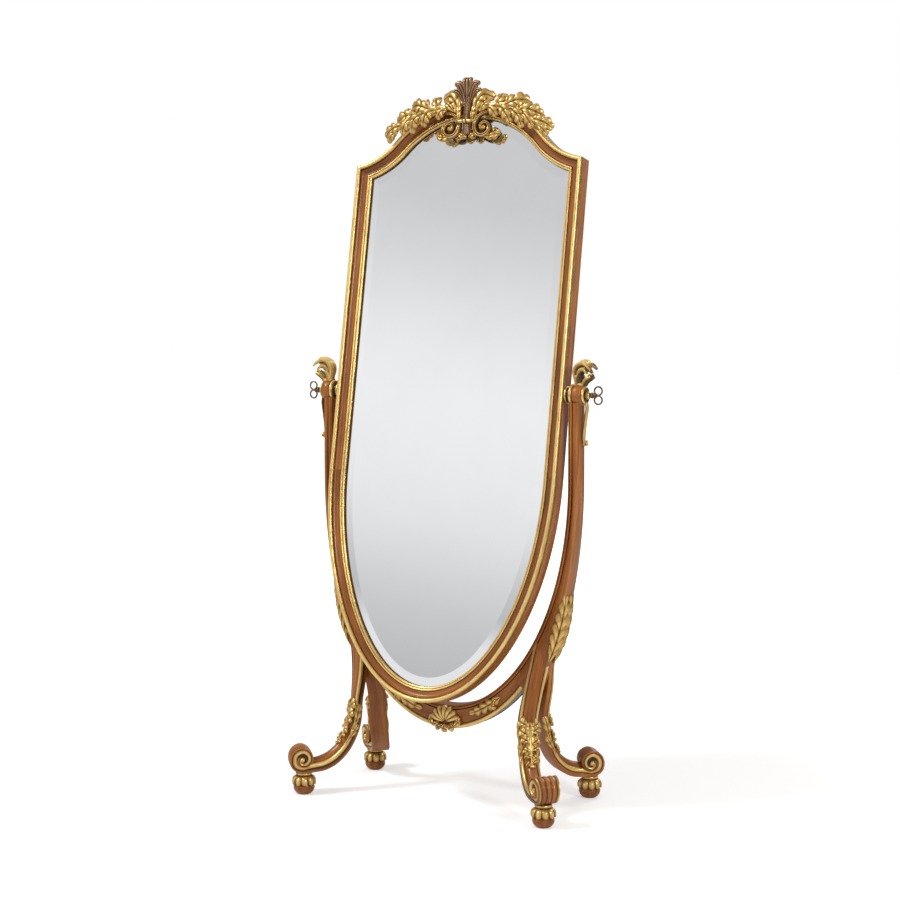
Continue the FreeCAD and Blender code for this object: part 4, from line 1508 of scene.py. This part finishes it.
    def make_side_carving(self, side: Side) -> None:
        """Makes the acanthus on the outer face of an upright.

        Args:
            side: which side.
        """
        solid = Solid()
        spine, faces = [], []
        for height, proud in ((378, 0.5), (420, 3), (470, 4), (520, 3.5), (562, 1)):
            a = math.asin((self.centre - height) / self.outer_drop)
            out = unit(np.array([math.cos(a) / self.outer_half, -math.sin(a) / self.outer_drop]))
            x = self.outer_half * math.cos(a) + out[0] * proud
            spine.append((side.value * x, 0, height + out[1] * proud))
            faces.append((side.value * out[0], 0, out[1]))
        Leaf(spine, 22, 6, faces, crown=6, lean=0.9, notch=0.6, widest=0.38).carve(solid)
        for way in (-1, 1):
            line = [(x - side.value * 5, way * 21, z) for x, _, z in spine]
            show = [(x * 0.75, way * 0.75, z * 0.75) for x, _, z in faces]
            Leaf(line, 21, 6, show, crown=6, lean=1.1, notch=0.6, widest=0.38).carve(solid)
        solid.build(f"carved_{side.word}_acanthus", side.word + "_upright_carving")

    def make(self) -> None:
        """Makes the uprights, the rail and their carvings."""
        self.make_uprights()
        self.make_rail()
        self.make_shell()
        self.make_rail_sprays()
        for side in Side:
            self.make_side_carving(side)


@dataclass
class ScrollLeg:
    """One leg: a moulded strap that leaves the upright and rolls up over its foot."""

    end: End
    side: Side
    half_width: float = 25.0
    eye_height: float = 96.0
    roll_start: int = 60

    @property
    def shift(self) -> float:
        """How far the eye of the scroll stands out from the middle of the foot."""
        return 7.0 if self.end is End.FRONT else 1.0

    @property
    def eye(self) -> np.ndarray:
        """Middle of the scroll."""
        return self.foot + self.outward(self.splay + self.twist) * self.shift + UP * self.eye_height

    @property
    def twist(self) -> float:
        """Further turn of the leg in plan from its neck to its scroll, in radians."""
        return math.radians(8.5 if self.end is End.FRONT else 19.0)

    @property
    def name(self) -> str:
        """The leg's place, as the nodes spell it."""
        return f"{self.end.word}_{self.side.word}"

    @property
    def foot(self) -> np.ndarray:
        """Centre of the foot on the floor."""
        low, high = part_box(self.name + "_bun_foot")
        return np.array([(low.x + high.x) / 2 / MM, (low.y + high.y) / 2 / MM, 0.0])

    @property
    def splay(self) -> float:
        """Turn of the leg in plan, in radians."""
        return math.radians(41.6 if self.end is End.FRONT else 32.7)

    def outward(self, turn: float) -> np.ndarray:
        """Direction away from the upright at a turn in plan.

        Args:
            turn: the turn in radians.

        Returns:
            A unit vector.
        """
        return np.array([self.side.value * math.sin(turn), self.end.value * math.cos(turn), 0.0])

    def across(self, turn: float) -> np.ndarray:
        """Direction across the leg at a turn in plan.

        Args:
            turn: the turn in radians.

        Returns:
            A unit vector.
        """
        return np.array([self.side.value * math.cos(turn), -self.end.value * math.sin(turn), 0.0])

    def knots(self) -> np.ndarray:
        """Knots of the strap.

        Returns:
            Rows of centre (3), across (3), thickness, crown, bead, half width and reeding.
        """
        rows = []
        head = ((302, 3, 480, 22), (281, 12, 425, 23), (271, 21, 370, 24), (262, 36, 310, 24))
        for number, (x, y, z, thick) in enumerate(head):
            centre = (self.side.value * x, self.end.value * y, z)
            way = self.across(self.splay * number / len(head))
            rows.append([*centre, *way, thick, 2.0, 11.0, self.half_width, 0.0])
        strap = ((146, 245, 24, 3.0, 10.0), (143, 205, 26, 5.0, 10.5), (134, 168, 29, 8.0, 11.0),
                 (112, 127, 33, 11.0, 11.5), (84, 98, 36, 12.5, 12.0), (56, 83, 37, 12.5, 13.0),
                 (28, 77.5, 35, 10.0, 14.0), (12, 75, 31, 7.0, 15.0))
        for reach, z, thick, crown, bead in strap:
            turn = self.splay + self.twist * (1 - reach / 146)
            centre = self.foot - self.outward(turn) * (reach - self.shift * (1 - reach / 146)) + UP * z
            rows.append([*centre, *self.across(turn), thick, crown, bead, self.half_width, 0.0])
        roll = ((0, 36.5, 26, 4.0, 15.5), (45, 34, 22.5, 3.0, 15.5), (90, 31, 19.5, 2.0, 14.5),
                (135, 31, 17.5, 1.5, 13.5), (180, 31.5, 16, 1.0, 12.5), (225, 29.5, 14.5, 1.0, 11.0),
                (270, 26.5, 12.5, 0.8, 9.5), (315, 22.5, 11, 0.6, 8.0), (360, 18.5, 9.5, 0.5, 7.0),
                (405, 15, 8.5, 0.4, 6.0), (450, 11.5, 8, 0.4, 5.5), (495, 8.5, 7.5, 0.4, 5.0))
        way, outward = self.across(self.splay + self.twist), self.outward(self.splay + self.twist)
        for turn, outer, thick, crown, bead in roll:
            a = math.radians(turn)
            reach = outer - thick / 2
            centre = self.eye + outward * reach * math.sin(a) - UP * reach * math.cos(a)
            flare = self.half_width + 8.0 * min(1.0, turn / 200) ** 0.7
            reeding = 3.0 * min(1.0, (turn + 10) / 60)
            rows.append([*centre, *way, thick, crown, bead, flare, reeding])
        return np.array(rows)

    def stations(self) -> np.ndarray:
        """The knots' columns at each station of the strap."""
        return smooth_path(self.knots(), 5)

    def strap_section(self, thick: float, crown: float, bead: float, half: float,
                      reed: float) -> Section:
        """Section of the strap: (across, outward) points.

        Args:
            thick: thickness at the middle.
            crown: how far the panel stands above the side beads.
            bead: height of the side beads.
            half: half width.
            reed: depth of the reeds on the back.

        Returns:
            The section.
        """
        wood, gold = Tint.WALNUT, Tint.GILT
        front, back = thick / 2 - crown, -thick / 2
        low = max(front - bead, back + 1.6)
        inset = min(8.0, half * 0.3)
        flank = [
            flat(wood, (half - 2.0, back - 0.7 * reed), (half - 0.6, back + 1.2), relief=(0.7, 0.9)),
            flat(wood, (half - 0.6, back + 1.2), (half - 0.6, low - 0.2), relief=0.55),
            flat(wood, (half - 0.6, low - 0.2), (half - 2.4, low + 0.5), relief=(0.1, 0.0)),
            flat(gold, (half - 2.4, low + 0.5), (half - 1.0, low + 1.4), relief=(0.0, 0.2)),
            round_over(gold, (half - 1.0, low + 1.4), (half - inset, front), -0.34 * bead, 11,
                       0.3, 1.0),
            flat(gold, (half - inset, front), (half - inset - 0.9, front - 1.4), relief=(0.2, 0.0)),
            flat(wood, (half - inset - 0.9, front - 1.4), (half - inset - 2.2, front - 0.2),
                 relief=(0.0, 0.5)),
        ]
        edge = half - inset - 2.2
        panel = round_over(wood, (edge, front - 0.2), (-edge, front - 0.2), -(crown + 0.4), 15,
                           0.5, 0.7)
        w = np.linspace(-1, 1, 29)
        inner = np.clip(w / 0.76, -1, 1)
        reeds = np.abs(np.sin(1.5 * math.pi * (inner + 1)))
        lip = np.clip((np.abs(w) - 0.76) / 0.24, 0, 1)
        rise = reed * (0.9 * reeds + 0.8 * np.sin(lip * math.pi / 2) - 0.1)
        rear = np.stack([w * (half - 2.0), back - rise], -1)
        proud = np.full(len(w), 0.6) if reed < 0.5 else 0.08 + 0.62 * reeds + 0.85 * lip
        rear = Stretch(rear, wood, proud)
        return section([*flank, panel, *reversed_half(flank, (-1, 1)), rear])

    def build_strap(self) -> np.ndarray:
        """Makes the leg.

        Returns:
            Centre, direction across and direction outward at each station, rows by 3 by 3.
        """
        rows = self.stations()
        centres, across = rows[:, :3], unit(rows[:, 3:6])
        along = unit(np.gradient(centres, axis=0))
        out = unit(np.cross(along, across)) * self.side.value * -self.end.value
        rings = []
        for centre, wide, deep, sizes in zip(centres, across, out, rows[:, 6:]):
            shape = self.strap_section(*sizes)
            rings.append(centre + shape.points[:, :1] * wide + shape.points[:, 1:] * deep)
        rings = np.stack(rings)
        # The back of the strap turns from plain to reeded as it rolls up.
        reeded = np.clip(rows[:, 10:] / 2.6, 0, 1)
        plain = self.strap_section(*rows[10, 6:10], 0.0).relief
        relief = plain * (1 - reeded) + shape.relief * reeded
        plank = LEG_PLANK + 700 * self.end.value + 300 * self.side.value
        grain = swept_grain(lengths(centres) + plank, shape)
        # The lips on both edges of the back are gilt where they show on the roll.
        tints = np.tile(shape.tints, (len(rings) - 1, 1))
        back_facets = 28
        lips = len(shape.points) - back_facets + np.array([0, 1, 2, 25, 26, 27])
        tints[-55:-14, lips] = TINTS.index(Tint.GILT)
        solid = Solid()
        solid.grid(rings, tints, relief, grain)
        boss = [flat(Tint.WALNUT, (0, 15.5), (26, 15.5), (27, 6.5), relief=0.12),
                round_over(Tint.GILT, (27, 6.5), (34, 0.1), 2.0, 7, 0.5, 1.0)]
        for sign in (-1, 1):
            axis = self.across(self.splay + self.twist) * sign
            Lathe(tuple(self.eye), tuple(axis), 28).turn(solid, section(boss, closed=False))
        solid.build(f"moulded_{self.name}_leg", self.name + "_leg")
        return np.stack([centres, across, out], 1)

    def build_carving(self, strap: np.ndarray) -> None:
        """Makes the acanthus on the front of the leg.

        Args:
            strap: what build_strap gives back.
        """
        thick = self.stations()[:, 6]
        heights = strap[:self.roll_start, 0, 2]

        def nearest(height: float) -> int:
            """The number of the station at a height, above the roll."""
            return int(np.argmin(np.abs(heights - height)))

        spine, faces = [], []
        for height, proud in ((113, 1.0), (134, 4.0), (160, 5.0), (188, 5.0), (216, 4.0), (238, 1.5)):
            number = nearest(height)
            centre, _, out = strap[number]
            spine.append(centre + out * (thick[number] / 2 + proud - 2.5))
            faces.append(out)
        solid = Solid()
        line, ways = smooth_path(np.array(spine), 10), smooth_path(np.array(faces), 10)
        tube(solid, line[3:-8], np.linspace(2.6, 4.4, len(line) - 11), Tint.GILT, face=faces[2])
        wide = strap[40][1]
        Leaf(spine, 15, 6, faces, crown=4.5, lean=0.8, notch=0.45, widest=0.7).carve(solid)
        pairs = ((5, 13, 9), (11, 16, 10), (18, 19, 12), (26, 22, 14), (34, 25, 16), (41, 26, 17))
        for place, (number, long, half) in enumerate(pairs):
            base, face = line[number], unit(ways[number])
            ahead = unit(line[number + 5] - line[number])
            for sign in (-1, 1):
                shift = ahead * (4 if sign * (-1) ** place > 0 else -2)
                start = base + shift - face * 0.5
                middle = start + wide * sign * long * 0.55 + ahead * long * 0.28 + face * 3.2
                tip = start + wide * sign * long + ahead * long * 0.62 - face * 1.5
                Leaf([start, middle, tip], half, 2, face, crown=4.2, notch=0.35,
                     widest=0.6).carve(solid)
        Leaf([line[-18], line[-8] + faces[-1] * 2, line[-1] + faces[-1] * 0.5], 17, 3, faces[-1],
             crown=4.5, notch=0.4).carve(solid)
        for sign in (-1, 1):
            for rises, half in (((168, 192, 216, 240), 12), ((128, 148, 168, 184), 9)):
                knots = []
                for height, back in zip(rises, (3, 0, -3, -8)):
                    centre, _, out = strap[nearest(height)]
                    knots.append(centre + out * (back + 1) + wide * sign * (25.5 - 0.05 * abs(back)))
                Leaf(knots, half, 3, wide * sign, thick=3, crown=3.6, notch=0.5,
                     widest=0.6).carve(solid)
        curl = line[3] + unit(ways[0]) * 1.5
        tube(solid, np.stack([curl - wide * 7, curl, curl + wide * 7]), np.array([3.0, 4.8, 3.0]),
             Tint.GILT, face=faces[0])
        solid.build(f"carved_{self.name}_acanthus", self.name + "_leg_carving")

    def build_foot(self) -> None:
        """Makes the bun foot and its petalled collar."""
        origin = tuple(self.foot)
        low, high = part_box(self.name + "_bun_foot")
        bun_top = 29.0
        radius = (high.x - low.x) / 2 / MM
        wood, gold = Tint.WALNUT, Tint.GILT
        bun = section([
            flat(wood, (0, 0.1), (0, 15), relief=0.2),
            round_over(wood, (0, 15), (17, radius), 2.8, 9, 0.35, 0.7),
            round_over(wood, (17, radius), (bun_top + 4, radius - 6.5), 1.6, 7, 0.7, 0.4),
            flat(wood, (bun_top + 4, radius - 6.5), (bun_top + 4, 6), (high.z / MM, 6),
                 (high.z / MM, 0.1), relief=0.2)], closed=False)
        solid = Solid()
        Lathe(origin).turn(solid, bun)
        solid.build(f"turned_{self.name}_bun", self.name + "_bun_foot")

        petals = 10
        shape = section([
            flat(gold, (31.0, 6.3), (31.0, 24.0), relief=0.0),
            flat(gold, (31.0, 24.0), (31.5, 30.5), relief=(0.1, 0.5)),
            round_over(gold, (31.5, 30.5), (48.5, 23.5), 3.6, 11, 0.6, 1.0),
            flat(gold, (48.5, 23.5), (49.5, 21.0), (51.5, 20.4), relief=(0.5, 0.0, 0.1)),
            round_over(gold, (51.5, 20.4), (59.0, 20.4), 2.2, 7, 0.2, 0.9),
            flat(gold, (59.0, 20.4), (60.0, 18.0), (60.0, 6.3), relief=0.2)])

        def gadroon(along: np.ndarray, radii: np.ndarray, angles: np.ndarray) -> tuple:
            """Swells each petal and drops its lower edge.

            Args:
                along: distances up the axis.
                radii: distances from it.
                angles: where round the axis.

            Returns:
                The new distances up the axis and from it.
            """
            petal = np.abs(np.cos(angles * petals / 2)) ** 0.7
            belly = np.clip((radii - 20.5) / 8, 0, 1) * np.clip((52 - along) / 6, 0, 1)
            drop = np.clip((40 - along) / 9, 0, 1)
            return along - 5.5 * petal * drop * belly, radii + belly * (3.4 * petal - 2.0)

        solid = Solid()
        Lathe(origin, count=petals * 12).turn(solid, shape, closed=True, wave=gadroon)
        petal = np.abs(np.cos(np.linspace(0, 2 * math.pi, petals * 12, endpoint=False) * petals / 2))
        groove = np.repeat(petal ** 0.6, len(shape.points))
        belly = np.tile(np.clip((shape.points[:, 1] - 20.5) / 8, 0, 1), petals * 12)
        solid.relief[-1] = solid.relief[-1] * (1 - belly + belly * groove)
        solid.build(f"carved_{self.name}_collar", self.name + "_foot_collar")

    def make(self) -> None:
        """Makes the leg, its carving and its foot."""
        self.build_carving(self.build_strap())
        self.build_foot()


# ---------------------------------------------------------------- hubs and keys

@dataclass
class HubSet:
    """Turned hub with its leaves, and the clamp key that passes through it."""

    side: Side
    plane: MirrorPlane = field(default_factory=MirrorPlane)
    start: float = 345.0
    length: float = 48.0
    radius: float = 30.5
    screw_start: float = 322.0
    collar_start: float = 393.4
    ring_centre: float = 424.5
    ring_radius: float = 10.6
    ring_rise: float = 11.6

    @property
    def lathe(self) -> Lathe:
        """A lathe on the pivot axis, measured outward from the middle of the stand."""
        return Lathe((0, 0, self.plane.pivot), (self.side.value, 0, 0), 64)

    def piece(self, stem: str) -> str:
        """The name of one of this side's nodes."""
        return f"{self.side.word}_{stem}"

    def make_hub(self) -> None:
        """Makes the hub: a barrel with a gilt ring at each end."""
        a, wide = self.start, self.radius
        b = a + self.length
        wood, gold = Tint.WALNUT, Tint.GILT
        shape = section([
            flat(wood, (a, 7.6), (a, 19), relief=0.1),
            flat(wood, (a, 19), (a + 5, 19), relief=0.1),
            flat(gold, (a + 5, 19), (a + 6.5, wide - 6.0), relief=(0.1, 0.4)),
            round_over(gold, (a + 6.5, wide - 6.0), (a + 15, wide - 4.0), 3.4, 11, 0.4, 1.0),
            flat(wood, (a + 15, wide - 4.0), (a + 16.2, wide - 5.6), (a + 17.4, wide - 3.8),
                 relief=(0.1, 0.0, 0.5)),
            round_over(wood, (a + 17.4, wide - 3.8), (b - 11, wide - 4.5), 2.6, 13, 0.6, 0.8),
            round_over(wood, (b - 11, wide - 4.5), (b - 7.5, wide - 9.5), 1.2, 6, 0.7, 0.5),
            flat(wood, (b - 7.5, wide - 9.5), (b - 6.8, wide - 10), relief=0.0),
            flat(gold, (b - 6.8, wide - 10), (b - 6.5, wide - 8), relief=(0.0, 0.4)),
            round_over(gold, (b - 6.5, wide - 8), (b - 0.8, wide - 12), 2.4, 9, 0.4, 1.0),
            flat(gold, (b - 0.8, wide - 12), (b - 1.6, wide - 13.5), relief=(0.5, 0.1)),
            round_over(gold, (b - 1.6, wide - 13.5), (b - 4.5, wide - 17), -1.0, 6, 0.1, 0.3),
            flat(wood, (b - 4.5, wide - 17), (b - 4.5, 7.6), (a, 7.6), relief=0.1)])
        solid = Solid()
        self.lathe.turn(solid, shape, closed=True)
        solid.build(f"turned_{self.piece('hub')}", self.piece("hub"))

    def make_key(self) -> None:
        """Makes the threaded screw with its button, and the double finger rings."""
        a, b = self.screw_start, self.collar_start
        steel, gold = Tint.STEEL, Tint.GILT
        threads = []
        for number in range(12):
            here = a + 1.5 + 1.7 * number
            threads += [(here, 5.0), (here + 0.35, 5.0), (here + 0.85, 4.3), (here + 1.35, 5.0)]
        shape = section([
            flat(steel, (a, 0.1), (a, 4.0), *threads, (b, 5.0), relief=0.5),
            flat(gold, (b, 5.0), (b, 10.4), relief=0.1),
            round_over(gold, (b, 10.4), (b + 3.4, 10.8), 0.8, 5, 0.3, 0.9),
            flat(gold, (b + 3.4, 10.8), (b + 3.8, 10.0), relief=(0.3, 0.05)),
            round_over(gold, (b + 3.8, 10.0), (b + 8.6, 4.6), 1.6, 7, 0.4, 1.0),
            flat(gold, (b + 8.6, 4.6), (b + 8.6, 0.1), relief=0.3)], closed=False)
        solid = Solid()
        self.lathe.turn(solid, shape)
        solid.build(f"turned_{self.piece('key_screw')}", self.piece("pivot_screw"))

        dark = Tint.DARK_BRONZE
        base, ring = b + 8.6, self.ring_centre - self.ring_radius
        knob = section([
            flat(dark, (base, 0.1), (base, 3.4), (base + 2.5, 2.9), relief=0.4),
            round_over(dark, (base + 2.5, 2.9), (ring - 2.0, 4.0), 4.6, 11, 0.3, 0.9),
            round_over(dark, (ring - 2.0, 4.0), (ring + 6.2, 2.4), 4.4, 11, 0.3, 0.9),
            flat(dark, (ring + 6.2, 2.4), (ring + 7.4, 0.1), relief=0.5)], closed=False)
        solid = Solid()
        replace(self.lathe, count=28).turn(solid, knob)
        turn = np.linspace(0, 2 * math.pi, 48, endpoint=False)
        for rise in (-self.ring_rise, self.ring_rise):
            x = self.side.value * (self.ring_centre + self.ring_radius * np.cos(turn))
            z = self.plane.pivot + rise + self.ring_radius * np.sin(turn)
            tube(solid, np.stack([x, np.zeros_like(x), z], -1), 2.4, dark, ring=True)
        solid.build(f"forged_{self.piece('key_rings')}", self.piece("key_rings"))

    def make_leaves(self) -> None:
        """Makes the curled leaf on the hub and the one that hangs on the upright."""
        sign, pivot = self.side.value, self.plane.pivot
        solid = Solid()
        layers = (
            (((374, 22), (367, 40), (365, 60), (372, 76), (387, 84), (402, 81), (412, 74)), 7, 21, 4.6),
            (((378, 22), (373, 40), (374, 55), (382, 67), (394, 69), (401, 63)), 6, 17, 4.4),
            (((385, 20), (388, 32), (396, 44), (409, 55)), 5, 14, 4.4),
            (((374, 20), (371, 34), (372, 48), (376, 60)), 6, 20, 5.0),
        )
        taper = ((0, 0.3, 0.75, 1), (0.7, 0.9, 1.0, 0.45))
        for knots, ribs, spread, thick in layers:
            for rib in np.linspace(-1, 1, ribs):
                fan = np.linspace(0.45, 1.0, len(knots)) * spread * rib
                fall = np.linspace(0.0, 1.0, len(knots)) ** 2 * 9 * rib ** 2
                spine = [(sign * x, y, pivot + z - f) for (x, z), y, f in zip(knots, fan, fall)]
                path = smooth_path(np.array(spine), 6)
                radius = thick * np.interp(np.linspace(0, 1, len(path)), *taper)
                tube(solid, path, radius, Tint.GILT, 10, squash=1.5, face=(sign * -1, -0.2, 0.6))
        bead = np.array([(sign * x, 0, pivot + z) for x, z in ((362, 27), (374, 29), (386, 27))])
        tube(solid, bead, np.array([6.0, 8.0, 6.0]), Tint.GILT, 16, squash=2.0)
        solid.build(f"carved_{self.piece('finial')}", self.piece("finial"))

        solid = Solid()
        hang = ((392, 1054), (394, 1038), (390, 1008), (386.5, 980), (385.5, 962), (387, 948))
        for way in (-3.4, 3.4):
            path = smooth_path(np.array([(sign * x, way, z) for x, z in hang]), 7)
            radius = np.linspace(4.4, 3.4, len(path))
            tube(solid, path, radius, Tint.GILT, squash=0.75, face=(sign, 0, 0))
        turn = np.radians(np.arange(-200, 280, 20.0))
        roll = np.linspace(7.0, 1.6, len(turn))
        curl = np.stack([sign * (391.5 + roll * np.sin(turn)), 0 * turn, 950 - roll * np.cos(turn)], -1)
        for way in (-4.4, -1.5, 1.5, 4.4):
            tube(solid, curl + [0, way, 0], np.linspace(2.1, 1.2, len(turn)), Tint.GILT, 10)
        solid.build(f"carved_{self.piece('tail_leaf')}", self.piece("tail_leaf"))

    def make(self) -> None:
        """Makes the hub, the key and the leaves."""
        self.make_hub()
        self.make_key()
        self.make_leaves()


# ---------------------------------------------------------------- joinery and studio

class Joinery:
    """The CAD's own pieces that keep their shape and get a finish."""

    FINISH = {
        Tint.PLYWOOD: ("backing_board",),
        Tint.BEECH: ("mitre_biscuits", "bow_pegs", "rail_dowels"),
        Tint.STEEL: ("backing_screws", "leg_screws"),
        Tint.BRASS: ("thread_inserts", "left_hub_bush", "right_hub_bush"),
    }

    def dress(self) -> None:
        """Gives each piece its finish."""
        for tint, nodes in self.FINISH.items():
            for node in nodes:
                mesh = frame["nodes"][node].data
                mesh.materials.clear()
                mesh.materials.append(MATERIALS[tint])
                log.info("%s: dressed in %s", node, tint.value)


@dataclass
class Studio:
    """Pale floor, soft light and the camera.

    Attributes:
        eye: the camera's place in metres.
        azimuth: its turn to the left in degrees.
        pitch: how far it looks down in degrees.
        lens: its focal length in millimetres.
        floor_reach: the floor's radius in metres.
        centre: what the lights point at.
        screen_aim: the direction of the screen that the glass shows.
        screen: the screen's greys, by height from 0 below to 1 overhead.
    """

    eye: Point = (2.38998, -4.37494, 1.26202)
    azimuth: float = 28.654
    pitch: float = 3.908
    lens: float = 76.051
    floor_reach: float = 40.0
    centre: Point = (0.0, 0.0, 0.95)
    screen_aim: Point = (-0.475, -0.835, 0.27)
    screen: Sequence[tuple[float, float]] = (
        (0.545, 0.90), (0.562, 0.57), (0.577, 0.66), (0.588, 0.76), (0.600, 0.88), (0.612, 0.95),
        (0.632, 0.99), (0.645, 0.95), (0.656, 0.88), (0.668, 0.78), (0.682, 0.69), (0.72, 0.66),
        (0.80, 0.62))

    def make_floor(self) -> None:
        """Makes the floor, which isn't part of the object."""
        tree = Tree(bpy.data.materials.new("pale_floor"))
        cloud = tree.noise(tree.place(), 1.3, 2)
        tone = tree.mix(cloud, (0.78, 0.78, 0.78), (0.80, 0.80, 0.80))
        far = tree.node("ShaderNodeVectorMath", {"operation": "LENGTH"}, {0: tree.place()}, "Value")
        glow = tree.mix(tree.step(far, 0.9, 2.8), (0.42, 0.42, 0.42), (1.0, 1.0, 1.0))
        camera = tree.node("ShaderNodeLightPath", {}, {}, "Is Camera Ray")
        glow = tree.mix(camera, (0.0, 0.0, 0.0), glow)
        tree.surface({"Base Color": tone, "Roughness": 0.75, "Specular IOR Level": 0.2,
                      "Emission Color": glow, "Emission Strength": 1.0})
        turn = np.linspace(0, 2 * math.pi, 96, endpoint=False)
        ring = np.stack([np.cos(turn), np.sin(turn), np.zeros_like(turn)], -1) * self.floor_reach
        mesh = bpy.data.meshes.new("floor")
        mesh.from_pydata(ring.tolist(), [], [list(range(96))])
        mesh.materials.append(tree.owner)
        floor = bpy.data.objects.new("floor", mesh)
        bpy.context.scene.collection.objects.link(floor)

    def make_world(self) -> None:
        """Makes the white surround; what the mirror shows is a soft grey gradient."""
        world = bpy.data.worlds.new("studio")
        bpy.context.scene.world = world
        tree = Tree(world)
        here = tree.node("ShaderNodeTexCoord", {}, {}, "Generated")
        height = tree.node("ShaderNodeSeparateXYZ", {}, {0: here}, "Z") * 0.5 + 0.5
        screen = tree.ramp(height, *((place, (grey, grey, grey * 1.012)) for place, grey in self.screen))
        room = tree.ramp(height, (0.5, (0.25, 0.24, 0.23)), (0.8, (0.33, 0.32, 0.31)),
                         (1.0, (0.50, 0.50, 0.50)))
        towards = {0: here, 1: self.screen_aim}
        near = tree.node("ShaderNodeVectorMath", {"operation": "DOT_PRODUCT"}, towards, "Value")
        tone = tree.mix(tree.step(near, 0.72, 0.93), room, screen)
        lit = tree.node("ShaderNodeBackground", {}, {"Color": tone, "Strength": 1.0})
        seen = tree.node("ShaderNodeBackground", {}, {"Color": (1, 1, 1, 1), "Strength": 1.0})
        camera = tree.node("ShaderNodeLightPath", {}, {}, "Is Camera Ray")
        mixed = tree.node("ShaderNodeMixShader", {}, {0: camera, 1: lit, 2: seen})
        tree.show(mixed, "ShaderNodeOutputWorld")

    def make_light(self, name: str, place: Point, size: float, power: float) -> None:
        """Makes one soft light.

        Args:
            name: its name.
            place: where it is, in metres.
            size: its width in metres.
            power: its power in watts.
        """
        lamp = bpy.data.lights.new(name, "AREA")
        lamp.shape, lamp.size, lamp.energy = "DISK", size, power
        light = bpy.data.objects.new(name, lamp)
        light.location = place
        aim = Vector(self.centre) - light.location
        light.rotation_euler = aim.to_track_quat("-Z", "Y").to_euler()
        bpy.context.scene.collection.objects.link(light)

    def make_camera(self) -> None:
        """Makes the camera at the standing viewer's place."""
        turn, dip = math.radians(self.azimuth), math.radians(self.pitch)
        level = math.cos(dip)
        ahead = Vector((-math.sin(turn) * level, math.cos(turn) * level, -math.sin(dip)))
        lens = bpy.data.cameras.new("camera")
        lens.lens, lens.sensor_width = self.lens, 36.0
        camera = bpy.data.objects.new("camera", lens)
        camera.location = self.eye
        camera.rotation_euler = ahead.to_track_quat("-Z", "Y").to_euler()
        bpy.context.scene.collection.objects.link(camera)
        bpy.context.scene.camera = camera

    def make(self) -> None:
        """Makes the camera, floor, surround and lights."""
        self.make_camera()
        self.make_floor()
        self.make_world()
        self.make_light("key", (-2.6, -2.6, 5.0), 1.2, 150)
        self.make_light("fill", (4.2, -2.0, 2.6), 1.0, 85)
        self.make_light("back", (0.8, 3.8, 3.2), 2.0, 50)
        bpy.context.scene.view_settings.view_transform = "Standard"


def main() -> None:
    """Builds the whole object in order."""
    logging.basicConfig(level=logging.INFO, format="%(message)s")
    Studio().make()
    for tint, finish in FINISHES.items():
        MATERIALS[tint] = finish.make("finish_" + tint.value)
    MirrorFrame().make()
    Crest().make()
    Lyre().make()
    for end in End:
        for side in Side:
            ScrollLeg(end, side).make()
    for side in Side:
        HubSet(side).make()
    Joinery().dress()


if __name__ == "__main__":
    main()
